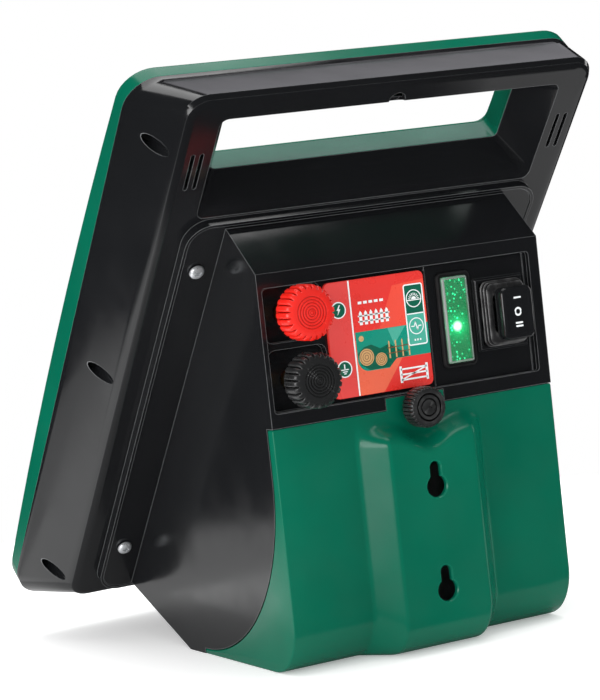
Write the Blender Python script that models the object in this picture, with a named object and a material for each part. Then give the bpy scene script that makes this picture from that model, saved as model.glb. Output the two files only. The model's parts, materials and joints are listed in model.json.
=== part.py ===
"""Solar fence energizer: a portrait solar panel frame with a carrying handle, bolted to a
wedge-shaped housing that stands on its base. Lengths are in millimetres until add_object
turns them into metres. X runs across the unit, Y from the control face to the panel, Z up.
"""

import math

import bmesh
import bpy
from mathutils import Vector

# ---- Driving dimensions, mm ----
FACE_Y = -130.3134  # world Y of the control face; it centres the object on the origin
HALF_W = 95.0  # half the housing's width
WALL = 3.0
GAP = 0.3  # air between neighbouring pieces
OVERCUT = 5.0  # how far a cutter starts outside the control face
PART_Z = 143.3  # where the control section meets the battery cover
FACE_TOP = 231.5
APEX = (30.0, 257.9)  # y, z where the housing's roof meets the panel frame
TILT = math.radians(39.96)  # panel plane, measured from the vertical
HEEL = (140.0, 0.0)  # y, z of the housing's rear bottom edge
COVER_END = 119.2  # y where the cover's floor stops
COVER_ARC = (118.6, 115.0, 112.0)  # y, z and radius of the cover's side edge
TRAY = (-92.0, 88.0, 151.6, 223.0)  # recessed part of the control face, x and z
TRAY_Y = 3.0
NICHE_Y = 8.0

PAD_Y = -15.0  # face of the hanging pad
PAD_FACE_X = 28.5
PAD_FOOT_X = 42.0
TAB_X = 19.4  # half width and top of the tab that the cover's screw passes through
TAB_TOP = 149.9
KEYHOLES = (97.0, 36.0)  # z of the two keyhole heads
KEY_HEAD_R = 6.5
KEY_SLOT_W = 7.0
KEY_RISE = 11.0  # head centre to the slot's round end

FRAME_X = 151.0  # half width at the line between the two frame shells
FRAME_S = (-335.0, 76.5)
RIDGE_X = 136.0
RIDGE_S = (-305.0, 91.0)
BACK_X = 130.0
BACK_S = (-299.0, 85.0)
PART_N = 48.0  # height of that line over the flange plane
SKIRT_N = 43.0
RIDGE_N = 10.0
BACK_N = 5.0
CROWN_N = 66.3
CROWN_DROP = 8.0
FLANGE_X = 116.7
FLANGE_S = (-292.3, 2.1)
FLANGE_T = 3.0
FLANGE_R = 13.0
RIM_WIDTH = 2.3  # raised rim of the rear shell round the flange
SLOT_REAR = (113.0, 5.5, 76.0)  # half width, lower and upper edge at the back
SLOT_WAIST = (97.2, 22.7, 62.0)
SLOT_FRONT = (110.5, 9.5, 66.5)
WAIST_N = 27.0
WINDOW_X = 131.0
WINDOW_S = (-322.0, -1.0)
LEDGE_N = 53.6
SHELL_SCREWS = ((141.0, 50.0), (141.0, -121.0), (141.0, -290.0))
FLANGE_SCREWS = ((107.6, -29.0), (107.6, -255.7))
LEAD_S = -60.0

FENCE_POST = (-76.4, 208.0)  # x, z of the terminals
EARTH_POST = (-76.1, 169.6)
KNOB_R = 16.0
KNOB_BACK = -8.0
KNOB_NECK = 12.6  # radius behind the ribbed skirt
KNOB_FACE = -28.0
THUMB = (0.0, 143.0)
THUMB_R = 12.0
ROCKER = (66.0, 189.5)
ROCKER_PIVOT_Y = -2.0
LED_WINDOW = (34.8, 189.3)
LED_OPENING = (9.2, 25.7)  # half width and half height
BATTERY = (75.5, 24.0, 122.0, 12.1, 104.0)

CORNER_STEPS = 8  # facets in a frame corner

SIN = math.sin(TILT)
COS = math.cos(TILT)


# ---- Geometry helpers ----
def slope(x, s, n):
    """Point on the tilted frame: s runs up the panel, n outwards from the flange plane."""
    y = APEX[0] - SIN * s + COS * n
    z = APEX[1] + COS * s + SIN * n
    return (x, y, z)


def material(name, colour, roughness, metallic=0.0, clear=0.0):
    made = bpy.data.materials.get(name)
    if made:
        return made
    made = bpy.data.materials.new(name)
    made.use_nodes = True
    shader = made.node_tree.nodes["Principled BSDF"]
    shader.inputs["Base Color"].default_value = (*colour, 1.0)
    shader.inputs["Roughness"].default_value = roughness
    shader.inputs["Metallic"].default_value = metallic
    shader.inputs["Transmission Weight"].default_value = clear
    made.diffuse_color = (*colour, 1.0)
    return made


def add_object(name, vertices, faces, paint=None, origin=(0.0, FACE_Y * -1.0, 0.0)):
    """Mesh object in metres. origin is in housing coordinates, as every vertex is."""
    base = Vector(origin)
    mesh = bpy.data.meshes.new(name)
    mesh.from_pydata([(Vector(v) - base) * 0.001 for v in vertices], [], faces)
    build = bmesh.new()
    build.from_mesh(mesh)
    bmesh.ops.remove_doubles(build, verts=build.verts, dist=1e-7)
    bmesh.ops.recalc_face_normals(build, faces=build.faces)
    build.to_mesh(mesh)
    build.free()
    made = bpy.data.objects.new(name, mesh)
    made.location = (base + Vector((0.0, FACE_Y, 0.0))) * 0.001
    bpy.context.scene.collection.objects.link(made)
    if paint:
        mesh.materials.append(paint)
    return made


def rings_to_faces(count, rings, capped=True):
    faces = []
    for r in range(rings - 1):
        for i in range(count):
            j = (i + 1) % count
            low = r * count
            high = low + count
            faces.append((low + i, low + j, high + j, high + i))
    if capped:
        faces.append(tuple(reversed(range(count))))
        faces.append(tuple(range((rings - 1) * count, rings * count)))
    return faces


def loft(name, rings, paint=None, **more):
    """Closed solid through rings of equal length, with flat ends."""
    points = [p for ring in rings for p in ring]
    return add_object(name, points, rings_to_faces(len(rings[0]), len(rings)), paint, **more)


def rounded(x0, x1, v0, v1, radius, steps=4):
    """Corner-rounded rectangle as (x, v) pairs, anticlockwise from the lower right."""
    corners = (
        (x1 - radius, v0 + radius, -90.0),
        (x1 - radius, v1 - radius, 0.0),
        (x0 + radius, v1 - radius, 90.0),
        (x0 + radius, v0 + radius, 180.0),
    )
    points = []
    for cx, cv, start in corners:
        for k in range(steps + 1):
            angle = math.radians(start + 90.0 * k / steps)
            points.append((cx + radius * math.cos(angle), cv + radius * math.sin(angle)))
    return points


def slope_ring(half, low, high, radius, n, steps=4):
    return [slope(x, s, n) for x, s in rounded(-half, half, low, high, radius, steps)]


def slope_block(name, half, low, high, radius, n0, n1, paint=None, centre=0.0, steps=4):
    outline = rounded(centre - half, centre + half, low, high, radius, steps)
    return loft(name, [[slope(x, s, n) for x, s in outline] for n in (n0, n1)], paint)


def face_block(name, x0, x1, z0, z1, radius, y0, y1, paint=None, steps=3, **more):
    """Rounded plate parallel to the control face."""
    outline = rounded(x0, x1, z0, z1, radius, steps)
    return loft(name, [[(x, y, z) for x, z in outline] for y in (y0, y1)], paint, **more)


def box(name, x0, x1, y0, y1, z0, z1, paint=None):
    outline = ((x0, y0), (x1, y0), (x1, y1), (x0, y1))
    return loft(name, [[(x, y, z) for x, y in outline] for z in (z0, z1)], paint)


def prism(name, x0, x1, profile, paint=None):
    """Side profile of (y, z) pairs, extruded across the unit."""
    return loft(name, [[(x, y, z) for y, z in profile] for x in (x0, x1)], paint)


def turned(name, stations, axis, sides=24, paint=None, **more):
    """Solid of revolution: stations are (distance, radius) along axis, a (start, direction)."""
    start = Vector(axis[0])
    along = Vector(axis[1]).normalized()
    across = along.orthogonal().normalized()
    other = along.cross(across)
    rings = []
    for distance, radius in stations:
        ring = []
        for i in range(sides):
            angle = 2.0 * math.pi * i / sides
            out = across * math.cos(angle) + other * math.sin(angle)
            ring.append(tuple(start + along * distance + out * radius))
        rings.append(ring)
    return loft(name, rings, paint, **more)


def face_axis(post, y=0.0):
    return ((post[0], y, post[1]), (0.0, 1.0, 0.0))


def slope_axis(x, s, n=0.0):
    return (slope(x, s, n), (0.0, COS, SIN))


def combine(target, other, operation):
    """Bakes one Boolean into target and removes the other object."""
    step = target.modifiers.new("step", "BOOLEAN")
    step.operation = operation
    step.solver = "EXACT"
    step.object = other
    bpy.context.view_layer.update()
    graph = bpy.context.evaluated_depsgraph_get()
    mesh = bpy.data.meshes.new_from_object(target.evaluated_get(graph))
    old = target.data
    target.modifiers.clear()
    target.data = mesh
    name = old.name
    bpy.data.meshes.remove(old)
    mesh.name = name
    bpy.data.objects.remove(other)
    return target


def cut(target, *others):
    for other in others:
        combine(target, other, "DIFFERENCE")
    return target


def join(target, *others):
    for other in others:
        combine(target, other, "UNION")
    return target


def tube(name, points, radius, paint, sides=2):
    """Round lead along a smooth curve through the given points."""
    curve = bpy.data.curves.new(name, "CURVE")
    curve.dimensions = "3D"
    curve.bevel_depth = radius * 0.001
    curve.bevel_resolution = sides
    curve.use_fill_caps = True
    curve.twist_mode = "MINIMUM"
    smooth = smooth_path([Vector(p) for p in points])
    spline = curve.splines.new("POLY")
    spline.points.add(len(smooth) - 1)
    for point, place in zip(spline.points, smooth):
        point.co = (*((place + Vector((0.0, FACE_Y, 0.0))) * 0.001), 1.0)
    made = bpy.data.objects.new(name, curve)
    bpy.context.scene.collection.objects.link(made)
    curve.materials.append(paint)
    return made


def smooth_path(points, steps=5):
    """Catmull-Rom curve through the points."""
    ends = [points[0] * 2 - points[1]] + points + [points[-1] * 2 - points[-2]]
    path = []
    for a, b, c, d in zip(ends, ends[1:], ends[2:], ends[3:]):
        for k in range(steps):
            t = k / steps
            path.append(
                0.5
                * (
                    2 * b
                    + (c - a) * t
                    + (2 * a - 5 * b + 4 * c - d) * t * t
                    + (3 * b - a - 3 * c + d) * t**3
                )
            )
    path.append(points[-1])
    return path


def crown(s):
    """Height of the front shell's face, which bows outwards along the panel."""
    middle = 0.5 * (FRAME_S[0] + FRAME_S[1])
    half = 0.5 * (FRAME_S[1] - FRAME_S[0])
    return CROWN_N - CROWN_DROP * ((s - middle) / half) ** 2


def frame_outline(inset, radius, sides=10, steps=CORNER_STEPS):
    """(x, s) outline of the frame, mirror-paired, with the long sides divided."""
    x = FRAME_X - inset
    low = FRAME_S[0] + inset
    high = FRAME_S[1] - inset
    right = []
    for k in range(steps + 1):
        angle = math.radians(-90.0 + 90.0 * k / steps)
        across = x - radius + radius * math.cos(angle)
        right.append((across, low + radius + radius * math.sin(angle)))
    for k in range(1, sides):
        right.append((x, low + radius + (high - low - 2 * radius) * k / sides))
    for k in range(steps + 1):
        angle = math.radians(90.0 * k / steps)
        across = x - radius + radius * math.cos(angle)
        right.append((across, high - radius + radius * math.sin(angle)))
    left = [(-px, s) for px, s in reversed(right)]
    return right + left


def crowned_solid(name, levels, paint=None):
    """Stack of frame outlines. A level is (inset, radius, base, share): the share of the
    crown that its height follows. The last one closes with strips across."""
    rings = []
    for inset, radius, base, share in levels:
        outline = frame_outline(inset, radius)
        rings.append([slope(x, s, base + share * crown(s)) for x, s in outline])
    count = len(rings[0])
    faces = rings_to_faces(count, len(rings), capped=False)
    faces.append(tuple(reversed(range(count))))
    top = (len(rings) - 1) * count
    half = count // 2
    for k in range(half - 1):
        faces.append((top + k, top + k + 1, top + count - 2 - k, top + count - 1 - k))
    return add_object(name, [p for ring in rings for p in ring], faces, paint)


# ---- Start from an empty scene ----
for thing in list(bpy.data.objects):
    bpy.data.objects.remove(thing)

BLACK = material("gloss_black_plastic", (0.012, 0.013, 0.015), 0.2)
GREEN = material("green_plastic", (0.0, 0.115, 0.062), 0.3)
KNOB_BLACK = material("black_knob_plastic", (0.015, 0.016, 0.017), 0.38)
KNOB_RED = material("red_knob_plastic", (0.82, 0.012, 0.006), 0.38)
LABEL = material("red_label_film", (0.72, 0.02, 0.02), 0.35)
RUBBER = material("black_rubber", (0.012, 0.012, 0.013), 0.6)
STEEL = material("zinc_plated_steel", (0.62, 0.63, 0.64), 0.25, 1.0)
BRASS = material("brass", (0.72, 0.5, 0.2), 0.3, 1.0)
GLASS = material("clear_glass", (0.93, 0.97, 0.95), 0.05, 0.0, 0.9)
LENS = material("clear_lens", (0.85, 0.97, 0.9), 0.05, 0.0, 0.9)
CELLS = material("solar_cell_film", (0.012, 0.02, 0.06), 0.25)
BOARD = material("green_circuit_board", (0.0, 0.25, 0.09), 0.4)
DIODE = material("green_diode", (0.3, 1.0, 0.6), 0.2)
COPPER = material("copper_winding", (0.7, 0.3, 0.13), 0.35, 1.0)
CAN = material("capacitor_can", (0.05, 0.09, 0.2), 0.35)
ALU = material("bare_aluminium", (0.7, 0.71, 0.72), 0.35, 1.0)
CASE = material("grey_battery_case", (0.12, 0.12, 0.13), 0.5)
FOAM = material("grey_foam", (0.08, 0.08, 0.085), 0.9)
WEB = material("black_strap_web", (0.02, 0.02, 0.022), 0.8)
LEAD_RED = material("red_lead_sleeve", (0.6, 0.02, 0.02), 0.45)
LEAD_BLACK = material("black_lead_sleeve", (0.015, 0.015, 0.016), 0.45)


# ---- Rear frame shell ----
def rear_shell():
    shell = loft(
        "rear_shell",
        [
            slope_ring(FRAME_X, *FRAME_S, 20.0, PART_N, CORNER_STEPS),
            slope_ring(FRAME_X, *FRAME_S, 20.0, SKIRT_N, CORNER_STEPS),
            slope_ring(RIDGE_X, *RIDGE_S, 15.0, RIDGE_N, CORNER_STEPS),
            slope_ring(RIDGE_X - 2.0, RIDGE_S[0] + 2.0, RIDGE_S[1] - 2.0, 13.0, RIDGE_N - 3.0, CORNER_STEPS),
            slope_ring(BACK_X, *BACK_S, 10.0, BACK_N, CORNER_STEPS),
        ],
        BLACK,
    )
    cavity = loft(
        "cavity",
        [
            slope_ring(FRAME_X - WALL, FRAME_S[0] + WALL, FRAME_S[1] - WALL, 17.0, PART_N + 1, 5),
            slope_ring(FRAME_X - WALL, FRAME_S[0] + WALL, FRAME_S[1] - WALL, 17.0, SKIRT_N, 5),
            slope_ring(RIDGE_X - 3.4, RIDGE_S[0] + 3.4, RIDGE_S[1] - 3.4, 12.0, RIDGE_N + 2.4, 5),
            slope_ring(BACK_X - 1.5, BACK_S[0] + 1.5, BACK_S[1] - 1.5, 9.0, BACK_N + WALL, 5),
        ],
    )
    # Funnel round the handle slot and the screw bosses stay solid inside the cavity.
    keep = [slot_solid("funnel", 3.0, ((BACK_N - 0.5, 0.0), (WAIST_N, 1.0)))]
    for x, s in SHELL_SCREWS:
        for side in (-1, 1):
            axis = slope_axis(side * x, s, 9.0)
            keep.append(turned("boss", ((0.0, 6.2), (PART_N - 9.0, 6.2)), axis, 16))
    for x, s in FLANGE_SCREWS:
        for side in (-1, 1):
            keep.append(turned("post", ((0.0, 5.2), (12.0, 5.2)), slope_axis(side * x, s, 6.0), 12))
    cut(cavity, *keep)
    cut(shell, cavity)
    rim = flange_block("rim", RIM_WIDTH, -0.6, 6.5)
    cut(rim, flange_block("pit", GAP, -2.0, 7.5))
    join(shell, rim)
    cut(shell, slot_hole())
    for x, s in SHELL_SCREWS:
        for side in (-1, 1):
            cut(shell, turned("well", ((0.0, 4.4), (38.0, 4.4)), slope_axis(side * x, s, 2.0), 16))
            cut(shell, turned("bore", ((0.0, 2.1), (14.0, 2.1)), slope_axis(side * x, s, 38.0), 12))
    for x, s in FLANGE_SCREWS:
        for side in (-1, 1):
            cut(shell, turned("pilot", ((0.0, 2.2), (12.5, 2.2)), slope_axis(side * x, s, 4.0), 12))
    for x in (-125.1, -119.5, 119.5, 125.1):
        cut(shell, slope_block("vent", 1.2, 28.2, 53.2, 1.1, 3.0, 10.0, None, x, 2))
    cut(shell, turned("lead_hole", ((0.0, 6.0), (8.0, 6.0)), slope_axis(0.0, LEAD_S, 3.0), 16))
    # Half-round notch under the middle of the grip.
    cut(shell, turned("notch", ((0.0, 5.4), (6.5, 5.0)), slope_axis(0.0, 76.6, 3.6), 16))
    return shell


def flange_block(name, grow, n0, n1):
    """Block with the flange's outline, grown outwards."""
    low, high = FLANGE_S
    corner = FLANGE_R + grow
    outline = rounded(-FLANGE_X - grow, FLANGE_X + grow, low - grow, high + grow, corner, CORNER_STEPS)
    return loft(name, [[slope(x, s, n) for x, s in outline] for n in (n0, n1)])


def slot_solid(name, grow, ends):
    """Tapered block round the rear half of the handle slot."""
    rings = []
    for n, share in ends:
        values = [a + (b - a) * share for a, b in zip(SLOT_REAR, SLOT_WAIST)]
        rings.append(slope_ring(values[0] + grow, values[1] - grow, values[2] + grow, 6.0, n))
    return loft(name, rings)


def slot_hole():
    half, low, high = SLOT_REAR
    waist, waist_low, waist_high = SLOT_WAIST
    return loft(
        "slot",
        [
            slope_ring(half, low, high, 5.0, BACK_N - 2.0),
            slope_ring(half, low, high, 5.0, BACK_N + 0.25),
            slope_ring(half - 1.2, 9.4, high - 0.8, 5.0, BACK_N + 1.7),
            slope_ring(half - 3.6, 12.4, high - 3.2, 4.5, BACK_N + 5.0),
            slope_ring(waist, waist_low, waist_high, 3.0, WAIST_N),
            slope_ring(waist, waist_low, waist_high, 3.0, WAIST_N + 2.0),
        ],
    )


# ---- Front frame shell ----
def front_shell():
    low_n = PART_N + GAP
    shell = crowned_solid(
        "front_shell",
        (
            (0.0, 20.0, low_n, 0.0),
            (0.0, 20.0, -3.0, 1.0),
            (0.9, 19.1, -0.9, 1.0),
            (3.0, 17.0, 0.0, 1.0),
        ),
        GREEN,
    )
    cavity = crowned_solid("cavity", ((WALL, 17.0, low_n - 1.0, 0.0), (WALL, 17.0, -WALL, 1.0)))
    low, high = WINDOW_S
    wall = 2.7
    keep = [slope_block("window_wall", WINDOW_X + wall, low - wall, high + wall, 5.0, low_n + 2.0, 80.0)]
    for x, s in SHELL_SCREWS:
        for side in (-1, 1):
            axis = slope_axis(side * x, s, low_n - 2.0)
            keep.append(turned("boss", ((0.0, 5.4), (30.0, 5.4)), axis, 14))
    cut(cavity, *keep)
    cut(shell, cavity)
    waist = (SLOT_WAIST[0] + 3.0, SLOT_WAIST[1] - 3.0, SLOT_WAIST[2] + 3.0)
    front = (SLOT_FRONT[0] + 3.0, SLOT_FRONT[1] - 3.0, SLOT_FRONT[2] + 3.0)
    collar = loft("collar", [slope_ring(*waist, 5.0, WAIST_N + GAP), slope_ring(*front, 5.0, 57.6)])
    join(shell, collar)
    mouth = (SLOT_FRONT[0] + 4.0, SLOT_FRONT[1] - 4.0, SLOT_FRONT[2] + 4.0)
    hole = loft(
        "slot",
        [
            slope_ring(*SLOT_WAIST, 3.0, WAIST_N - 1.0),
            slope_ring(*SLOT_WAIST, 3.0, WAIST_N + GAP),
            slope_ring(*SLOT_FRONT, 4.0, 57.0),
            slope_ring(*mouth, 7.0, 62.0),
            slope_ring(*mouth, 7.0, CROWN_N + 4.0),
        ],
    )
    cut(shell, hole)
    cut(shell, slope_block("recess", WINDOW_X, *WINDOW_S, 3.0, LEDGE_N, 80.0))
    ledge = 5.0
    cut(shell, slope_block("opening", WINDOW_X - ledge, low + ledge, high - ledge, 3.0, 40.0, 60.0))
    for x, s in SHELL_SCREWS:
        for side in (-1, 1):
            cut(shell, turned("pilot", ((0.0, 1.9), (10.0, 1.9)), slope_axis(side * x, s, low_n - 2.0), 10))
    return shell


# ---- Solar panel ----
def solar_panel():
    low, high = WINDOW_S
    slope_block("solar_glass", WINDOW_X - 0.5, low + 0.5, high - 0.5, 2.6, 55.1, 58.3, GLASS)
    slope_block("solar_cells", WINDOW_X - 5.6, low + 5.6, high - 5.6, 2.0, 54.0, 54.8, CELLS)
    seal = slope_block("panel_seal", WINDOW_X - 0.5, low + 0.5, high - 0.5, 2.6, 53.9, 54.8, RUBBER)
    cut(seal, slope_block("middle", WINDOW_X - 5.2, low + 5.2, high - 5.2, 2.2, 50.0, 60.0))
    slope_block("junction_box", 22.0, LEAD_S - 16.0, LEAD_S + 16.0, 4.0, 37.0, 53.6, BLACK)
    grommet = turned("lead_grommet", ((0.0, 5.7), (10.6, 5.7)), slope_axis(0.0, LEAD_S, -1.2), 16, RUBBER)
    cut(grommet, turned("bore", ((0.0, 3.4), (16.0, 3.4)), slope_axis(0.0, LEAD_S, -3.0), 16))
    ends = [slope(0.0, LEAD_S, n) for n in (36.7, 20.0, 4.0, -14.0)]
    tube("solar_lead", ends + [(0.0, 50.0, 187.0), (0.0, 38.0, 185.0)], 2.2, LEAD_BLACK)


def screws():
    number = 1
    for x, s in SHELL_SCREWS:
        for side in (-1, 1):
            steps = ((0.0, 2.6), (0.7, 3.6), (2.6, 3.8), (2.6, 1.6), (15.0, 1.6))
            turned(f"shell_screw_{number}", steps, slope_axis(side * x, s, 37.1), 14, STEEL)
            number += 1
    number = 1
    for x, s in FLANGE_SCREWS:
        for side in (-1, 1):
            steps = ((0.0, 2.2), (0.8, 3.7), (2.0, 4.5), (2.9, 4.6), (2.9, 1.9), (17.0, 1.9))
            turned(f"flange_screw_{number}", steps, slope_axis(side * x, s, -3.2), 18, STEEL)
            number += 1


def flange_gasket():
    low, high = FLANGE_S
    gasket = slope_block("flange_gasket", FLANGE_X - 1.2, low + 1.2, high - 1.2, 12.0, 3.3, 4.7, RUBBER)
    cut(gasket, slope_block("middle", FLANGE_X - 17.0, low + 16.0, high - 14.0, 6.0, 1.0, 7.0))
    for x, s in FLANGE_SCREWS:
        for side in (-1, 1):
            cut(gasket, turned("hole", ((0.0, 2.5), (8.0, 2.5)), slope_axis(side * x, s, 0.0), 12))


# ---- Housing ----
def arc_points(radius, start, end, steps):
    """Points on the cover's side circle, by angle in degrees."""
    cy, cz, _ = COVER_ARC
    points = []
    for k in range(steps + 1):
        angle = math.radians(start + (end - start) * k / steps)
        points.append((cy + radius * math.cos(angle), cz + radius * math.sin(angle)))
    return points


def housing():
    arc = arc_points(COVER_ARC[2] - GAP, 270.0, 180.0, 20)
    toe = slope(0.0, FLANGE_S[0] + 0.3, 0.0)
    apex = slope(0.0, 0.0, 0.0)
    profile = [
        (arc[-1][0], PART_Z),
        (0.0, PART_Z),
        (0.0, FACE_TOP),
        (apex[1] + 1.2 * COS, apex[2] + 1.2 * SIN),
        (toe[1] + 1.2 * COS, toe[2] + 1.2 * SIN),
        HEEL,
        (COVER_END + GAP, 0.0),
        (COVER_END + GAP, arc[0][1]),
    ] + arc
    body = prism("housing", -HALF_W, HALF_W, profile, BLACK)
    join(body, flange_block("flange", 0.0, 0.0, FLANGE_T))
    inner = HALF_W - WALL
    depth = 0.2
    roof_y, roof_z = 32.1, 255.7
    floor_y = slope(0.0, (PART_Z + WALL - APEX[1]) / COS, depth)[1]
    for front, x0, x1 in ((NICHE_Y + WALL, -inner, -49.0), (TRAY_Y + WALL, -50.0, inner)):
        top = 229.25 + (front - 1.98) * 0.88
        rise = [(front, PART_Z + WALL), (front, top), (roof_y, roof_z), (floor_y, PART_Z + WALL)]
        cut(body, prism("electronics_bay", x0, x1, rise))
    bay_y = slope(0.0, (PART_Z - APEX[1]) / COS, depth)[1]
    bay = [(-20.0, PART_Z), (bay_y, PART_Z), (215.7, 36.65), (139.5, WALL), (-20.0, WALL)]
    cut(body, prism("battery_bay", -inner, inner, bay))
    # Shelf and ribs that carry the battery, and the boss of the cover's screw.
    join(body, box("shelf", -91.2, 91.2, 21.0, 128.0, 5.4, 8.6))
    join(body, box("shelf_root", -93.5, 93.5, 98.0, 128.0, 5.4, 8.6))
    join(body, box("shelf_end", -93.5, 93.5, 124.0, 130.0, 1.5, 8.6))
    for side in (-1, 1):
        join(body, box("rib", *sorted((side * 78.0, side * 80.5)), 22.0, 127.0, 7.0, 42.0))
    join(body, box("lip", -79.0, 79.0, 21.0, 23.4, 7.0, 16.0))
    join(body, box("nut_boss", -9.0, 9.0, 3.6, 16.0, 134.0, 149.0))
    # Control face: tray, terminal niches, notch for the cover's tab.
    cut(body, face_block("tray", *TRAY, 2.0, -OVERCUT, TRAY_Y))
    cut(body, face_block("niche", -91.7, -53.2, 191.2, 222.6, 5.0, -OVERCUT, NICHE_Y))
    cut(body, face_block("niche", -91.7, -53.2, 152.0, 187.2, 5.0, -OVERCUT, NICHE_Y))
    cut(body, box("tab_notch", -TAB_X - 0.4, TAB_X + 0.4, -OVERCUT, TRAY_Y + GAP, 130.0, TAB_TOP + 0.4))
    cut(body, turned("nut_bore", ((0.0, 3.4), (11.0, 3.4)), face_axis(THUMB, 2.0), 12))
    for post in (FENCE_POST, EARTH_POST):
        cut(body, turned("post_hole", ((0.0, 3.3), (12.0, 3.3)), face_axis(post, 5.0), 12))
    cut(body, window_hole())
    x, z = ROCKER
    cut(body, face_block("rocker_hole", x - 11.3, x + 11.3, z - 16.3, z + 16.3, 1.5, -OVERCUT, 12.0))
    cut(body, turned("wire_hole", ((0.0, 8.0), (12.0, 8.0)), ((60.0, 60.0, 138.0), (0, 0, 1)), 16))
    cut(body, turned("lead_hole", ((0.0, 6.0), (9.0, 6.0)), slope_axis(0.0, LEAD_S, -3.0), 16))
    for x, s in FLANGE_SCREWS:
        for side in (-1, 1):
            cut(body, turned("hole", ((0.0, 2.4), (8.0, 2.4)), slope_axis(side * x, s, -2.0), 12))
    return body


# ---- Battery cover ----
def cover_profile(pad, top_foot, top_face, offset):
    """Closed (y, z) section of the cover: pad is the face's y, offset shrinks it inwards."""
    face_end = 26.0 if pad < -1.0 else 32.0
    reach = 28.0 if pad < -1.0 else 30.0
    points = [(offset, PART_Z - GAP + (8.0 if offset else 0.0))]
    points.append((offset, top_foot))
    points.append((pad + offset, top_face - offset * 0.4))
    points.append((pad + offset, face_end))
    corner_y = reach if pad > -1.0 else pad + face_end
    for k in range(1, 6):
        angle = math.radians(180.0 + 90.0 * k / 6)
        ry = corner_y - pad - offset
        rz = face_end - offset
        points.append((corner_y + ry * math.cos(angle), face_end + rz * math.sin(angle)))
    points.append((corner_y, offset))
    points.append((reach + 4.0, offset))
    return points


PAD_SECTIONS = (  # x, y of the face, z where the pad starts, z where its face starts
    (PAD_FOOT_X, 0.0, 137.0, 129.0),
    (PAD_FACE_X, PAD_Y, 137.0, 129.0),
    (20.0, PAD_Y, 135.0, 125.5),
    (12.0, PAD_Y, 131.0, 121.0),
    (5.0, PAD_Y, 129.0, 118.6),
)


def battery_cover():
    arc = arc_points(COVER_ARC[2], 270.0, 180.0, 20)
    back = [(COVER_END, 0.0), (COVER_END, arc[0][1])] + arc + [(arc[-1][0], PART_Z - GAP)]
    half = [(HALF_W, 0.0, 137.0, 129.0)] + list(PAD_SECTIONS)
    sections = [(-x, y, a, b) for x, y, a, b in half] + list(reversed(half))
    rings = []
    for x, y, foot, face in sections:
        rings.append([(x, py, pz) for py, pz in cover_profile(y, foot, face, 0.0) + back])
    cover = loft("battery_cover", rings, GREEN)
    inner = [(HALF_W - WALL, 0.0, 137.0, 129.0)]
    inner += [(x - (2.6 if x > 22.0 else 0.0), y, foot - 1.5, face) for x, y, foot, face in PAD_SECTIONS]
    sections = [(-x, y, a, b) for x, y, a, b in inner] + list(reversed(inner))
    tail = [(COVER_END + 8.0, WALL), (COVER_END + 8.0, PART_Z + 8.0)]
    rings = []
    for x, y, foot, face in sections:
        rings.append([(x, py, pz) for py, pz in cover_profile(y, foot, face, WALL) + tail])
    cut(cover, loft("inside", rings))
    tab = box("tab", -TAB_X, TAB_X, 0.0, WALL - 0.1, 138.0, TAB_TOP)
    join(cover, tab)
    for z in KEYHOLES:
        cut(cover, keyhole(z))
    cut(cover, turned("screw_hole", ((0.0, 2.7), (12.0, 2.7)), face_axis(THUMB, -5.0), 14))
    return cover


def keyhole(z):
    """Round head with a narrower slot above it."""
    slot_r = 0.5 * KEY_SLOT_W
    head = math.radians(90.0) - math.asin(slot_r / KEY_HEAD_R)
    outline = []
    for k in range(17):
        angle = head - k * (math.pi + 2.0 * head) / 16.0
        outline.append((KEY_HEAD_R * math.cos(angle), z + KEY_HEAD_R * math.sin(angle)))
    for k in range(7):
        angle = math.pi - math.pi * k / 6.0
        outline.append((slot_r * math.cos(angle), z + KEY_RISE + slot_r * math.sin(angle)))
    return loft("keyhole", [[(x, y, v) for x, v in outline] for y in (PAD_Y - 4.0, PAD_Y + 8.0)])


# ---- Terminals ----
def ribbed_ring(post, y, outer, inner, lobes, turn=0.0):
    """Wavy outline of a grip: each lobe has a crest and a groove."""
    ring = []
    for k in range(lobes * 4):
        radius = outer if k % 4 in (0, 1) else inner
        angle = 2.0 * math.pi * (k + turn) / (lobes * 4)
        ring.append((post[0] + radius * math.cos(angle), y, post[1] + radius * math.sin(angle)))
    return ring


def terminal(kind, post, paint):
    x, z = post
    knob = loft(
        f"{kind}_knob",
        [
            ribbed_ring(post, KNOB_BACK, KNOB_NECK, KNOB_NECK, 16),
            ribbed_ring(post, KNOB_BACK - 4.6, KNOB_NECK, KNOB_NECK, 16),
            ribbed_ring(post, KNOB_BACK - 6.4, KNOB_R, 14.8, 16),
            ribbed_ring(post, KNOB_FACE + 3.0, KNOB_R, 14.8, 16),
            ribbed_ring(post, KNOB_FACE + 0.9, 14.2, 13.6, 16),
            ribbed_ring(post, KNOB_FACE, 12.2, 12.2, 16),
        ],
        paint,
        origin=(x, KNOB_BACK, z),
    )
    cut(knob, turned("bore", ((0.0, 3.5), (17.0, 3.5)), face_axis(post, KNOB_BACK - 16.0), 14))
    turned(
        f"{kind}_stud",
        ((0.0, 2.4), (1.0, 3.0), (16.4, 3.0), (16.4, 6.2), (29.6, 6.2), (29.6, 3.0), (44.0, 3.0)),
        face_axis(post, -21.9),
        14,
        BRASS,
    )
    washer = turned(f"{kind}_washer", ((0.0, 8.5), (1.4, 8.5)), face_axis(post, KNOB_BACK + GAP), 20, STEEL,
                    origin=(x, KNOB_BACK + GAP, z))
    cut(washer, turned("bore", ((0.0, 3.4), (6.0, 3.4)), face_axis(post, KNOB_BACK - 2.0), 14))
    nut = turned(f"{kind}_nut", ((0.0, 5.6), (4.6, 5.6)), face_axis(post, NICHE_Y + WALL + GAP), 6, STEEL)
    cut(nut, turned("bore", ((0.0, 3.4), (8.0, 3.4)), face_axis(post, NICHE_Y + 1.0), 12))


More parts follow.
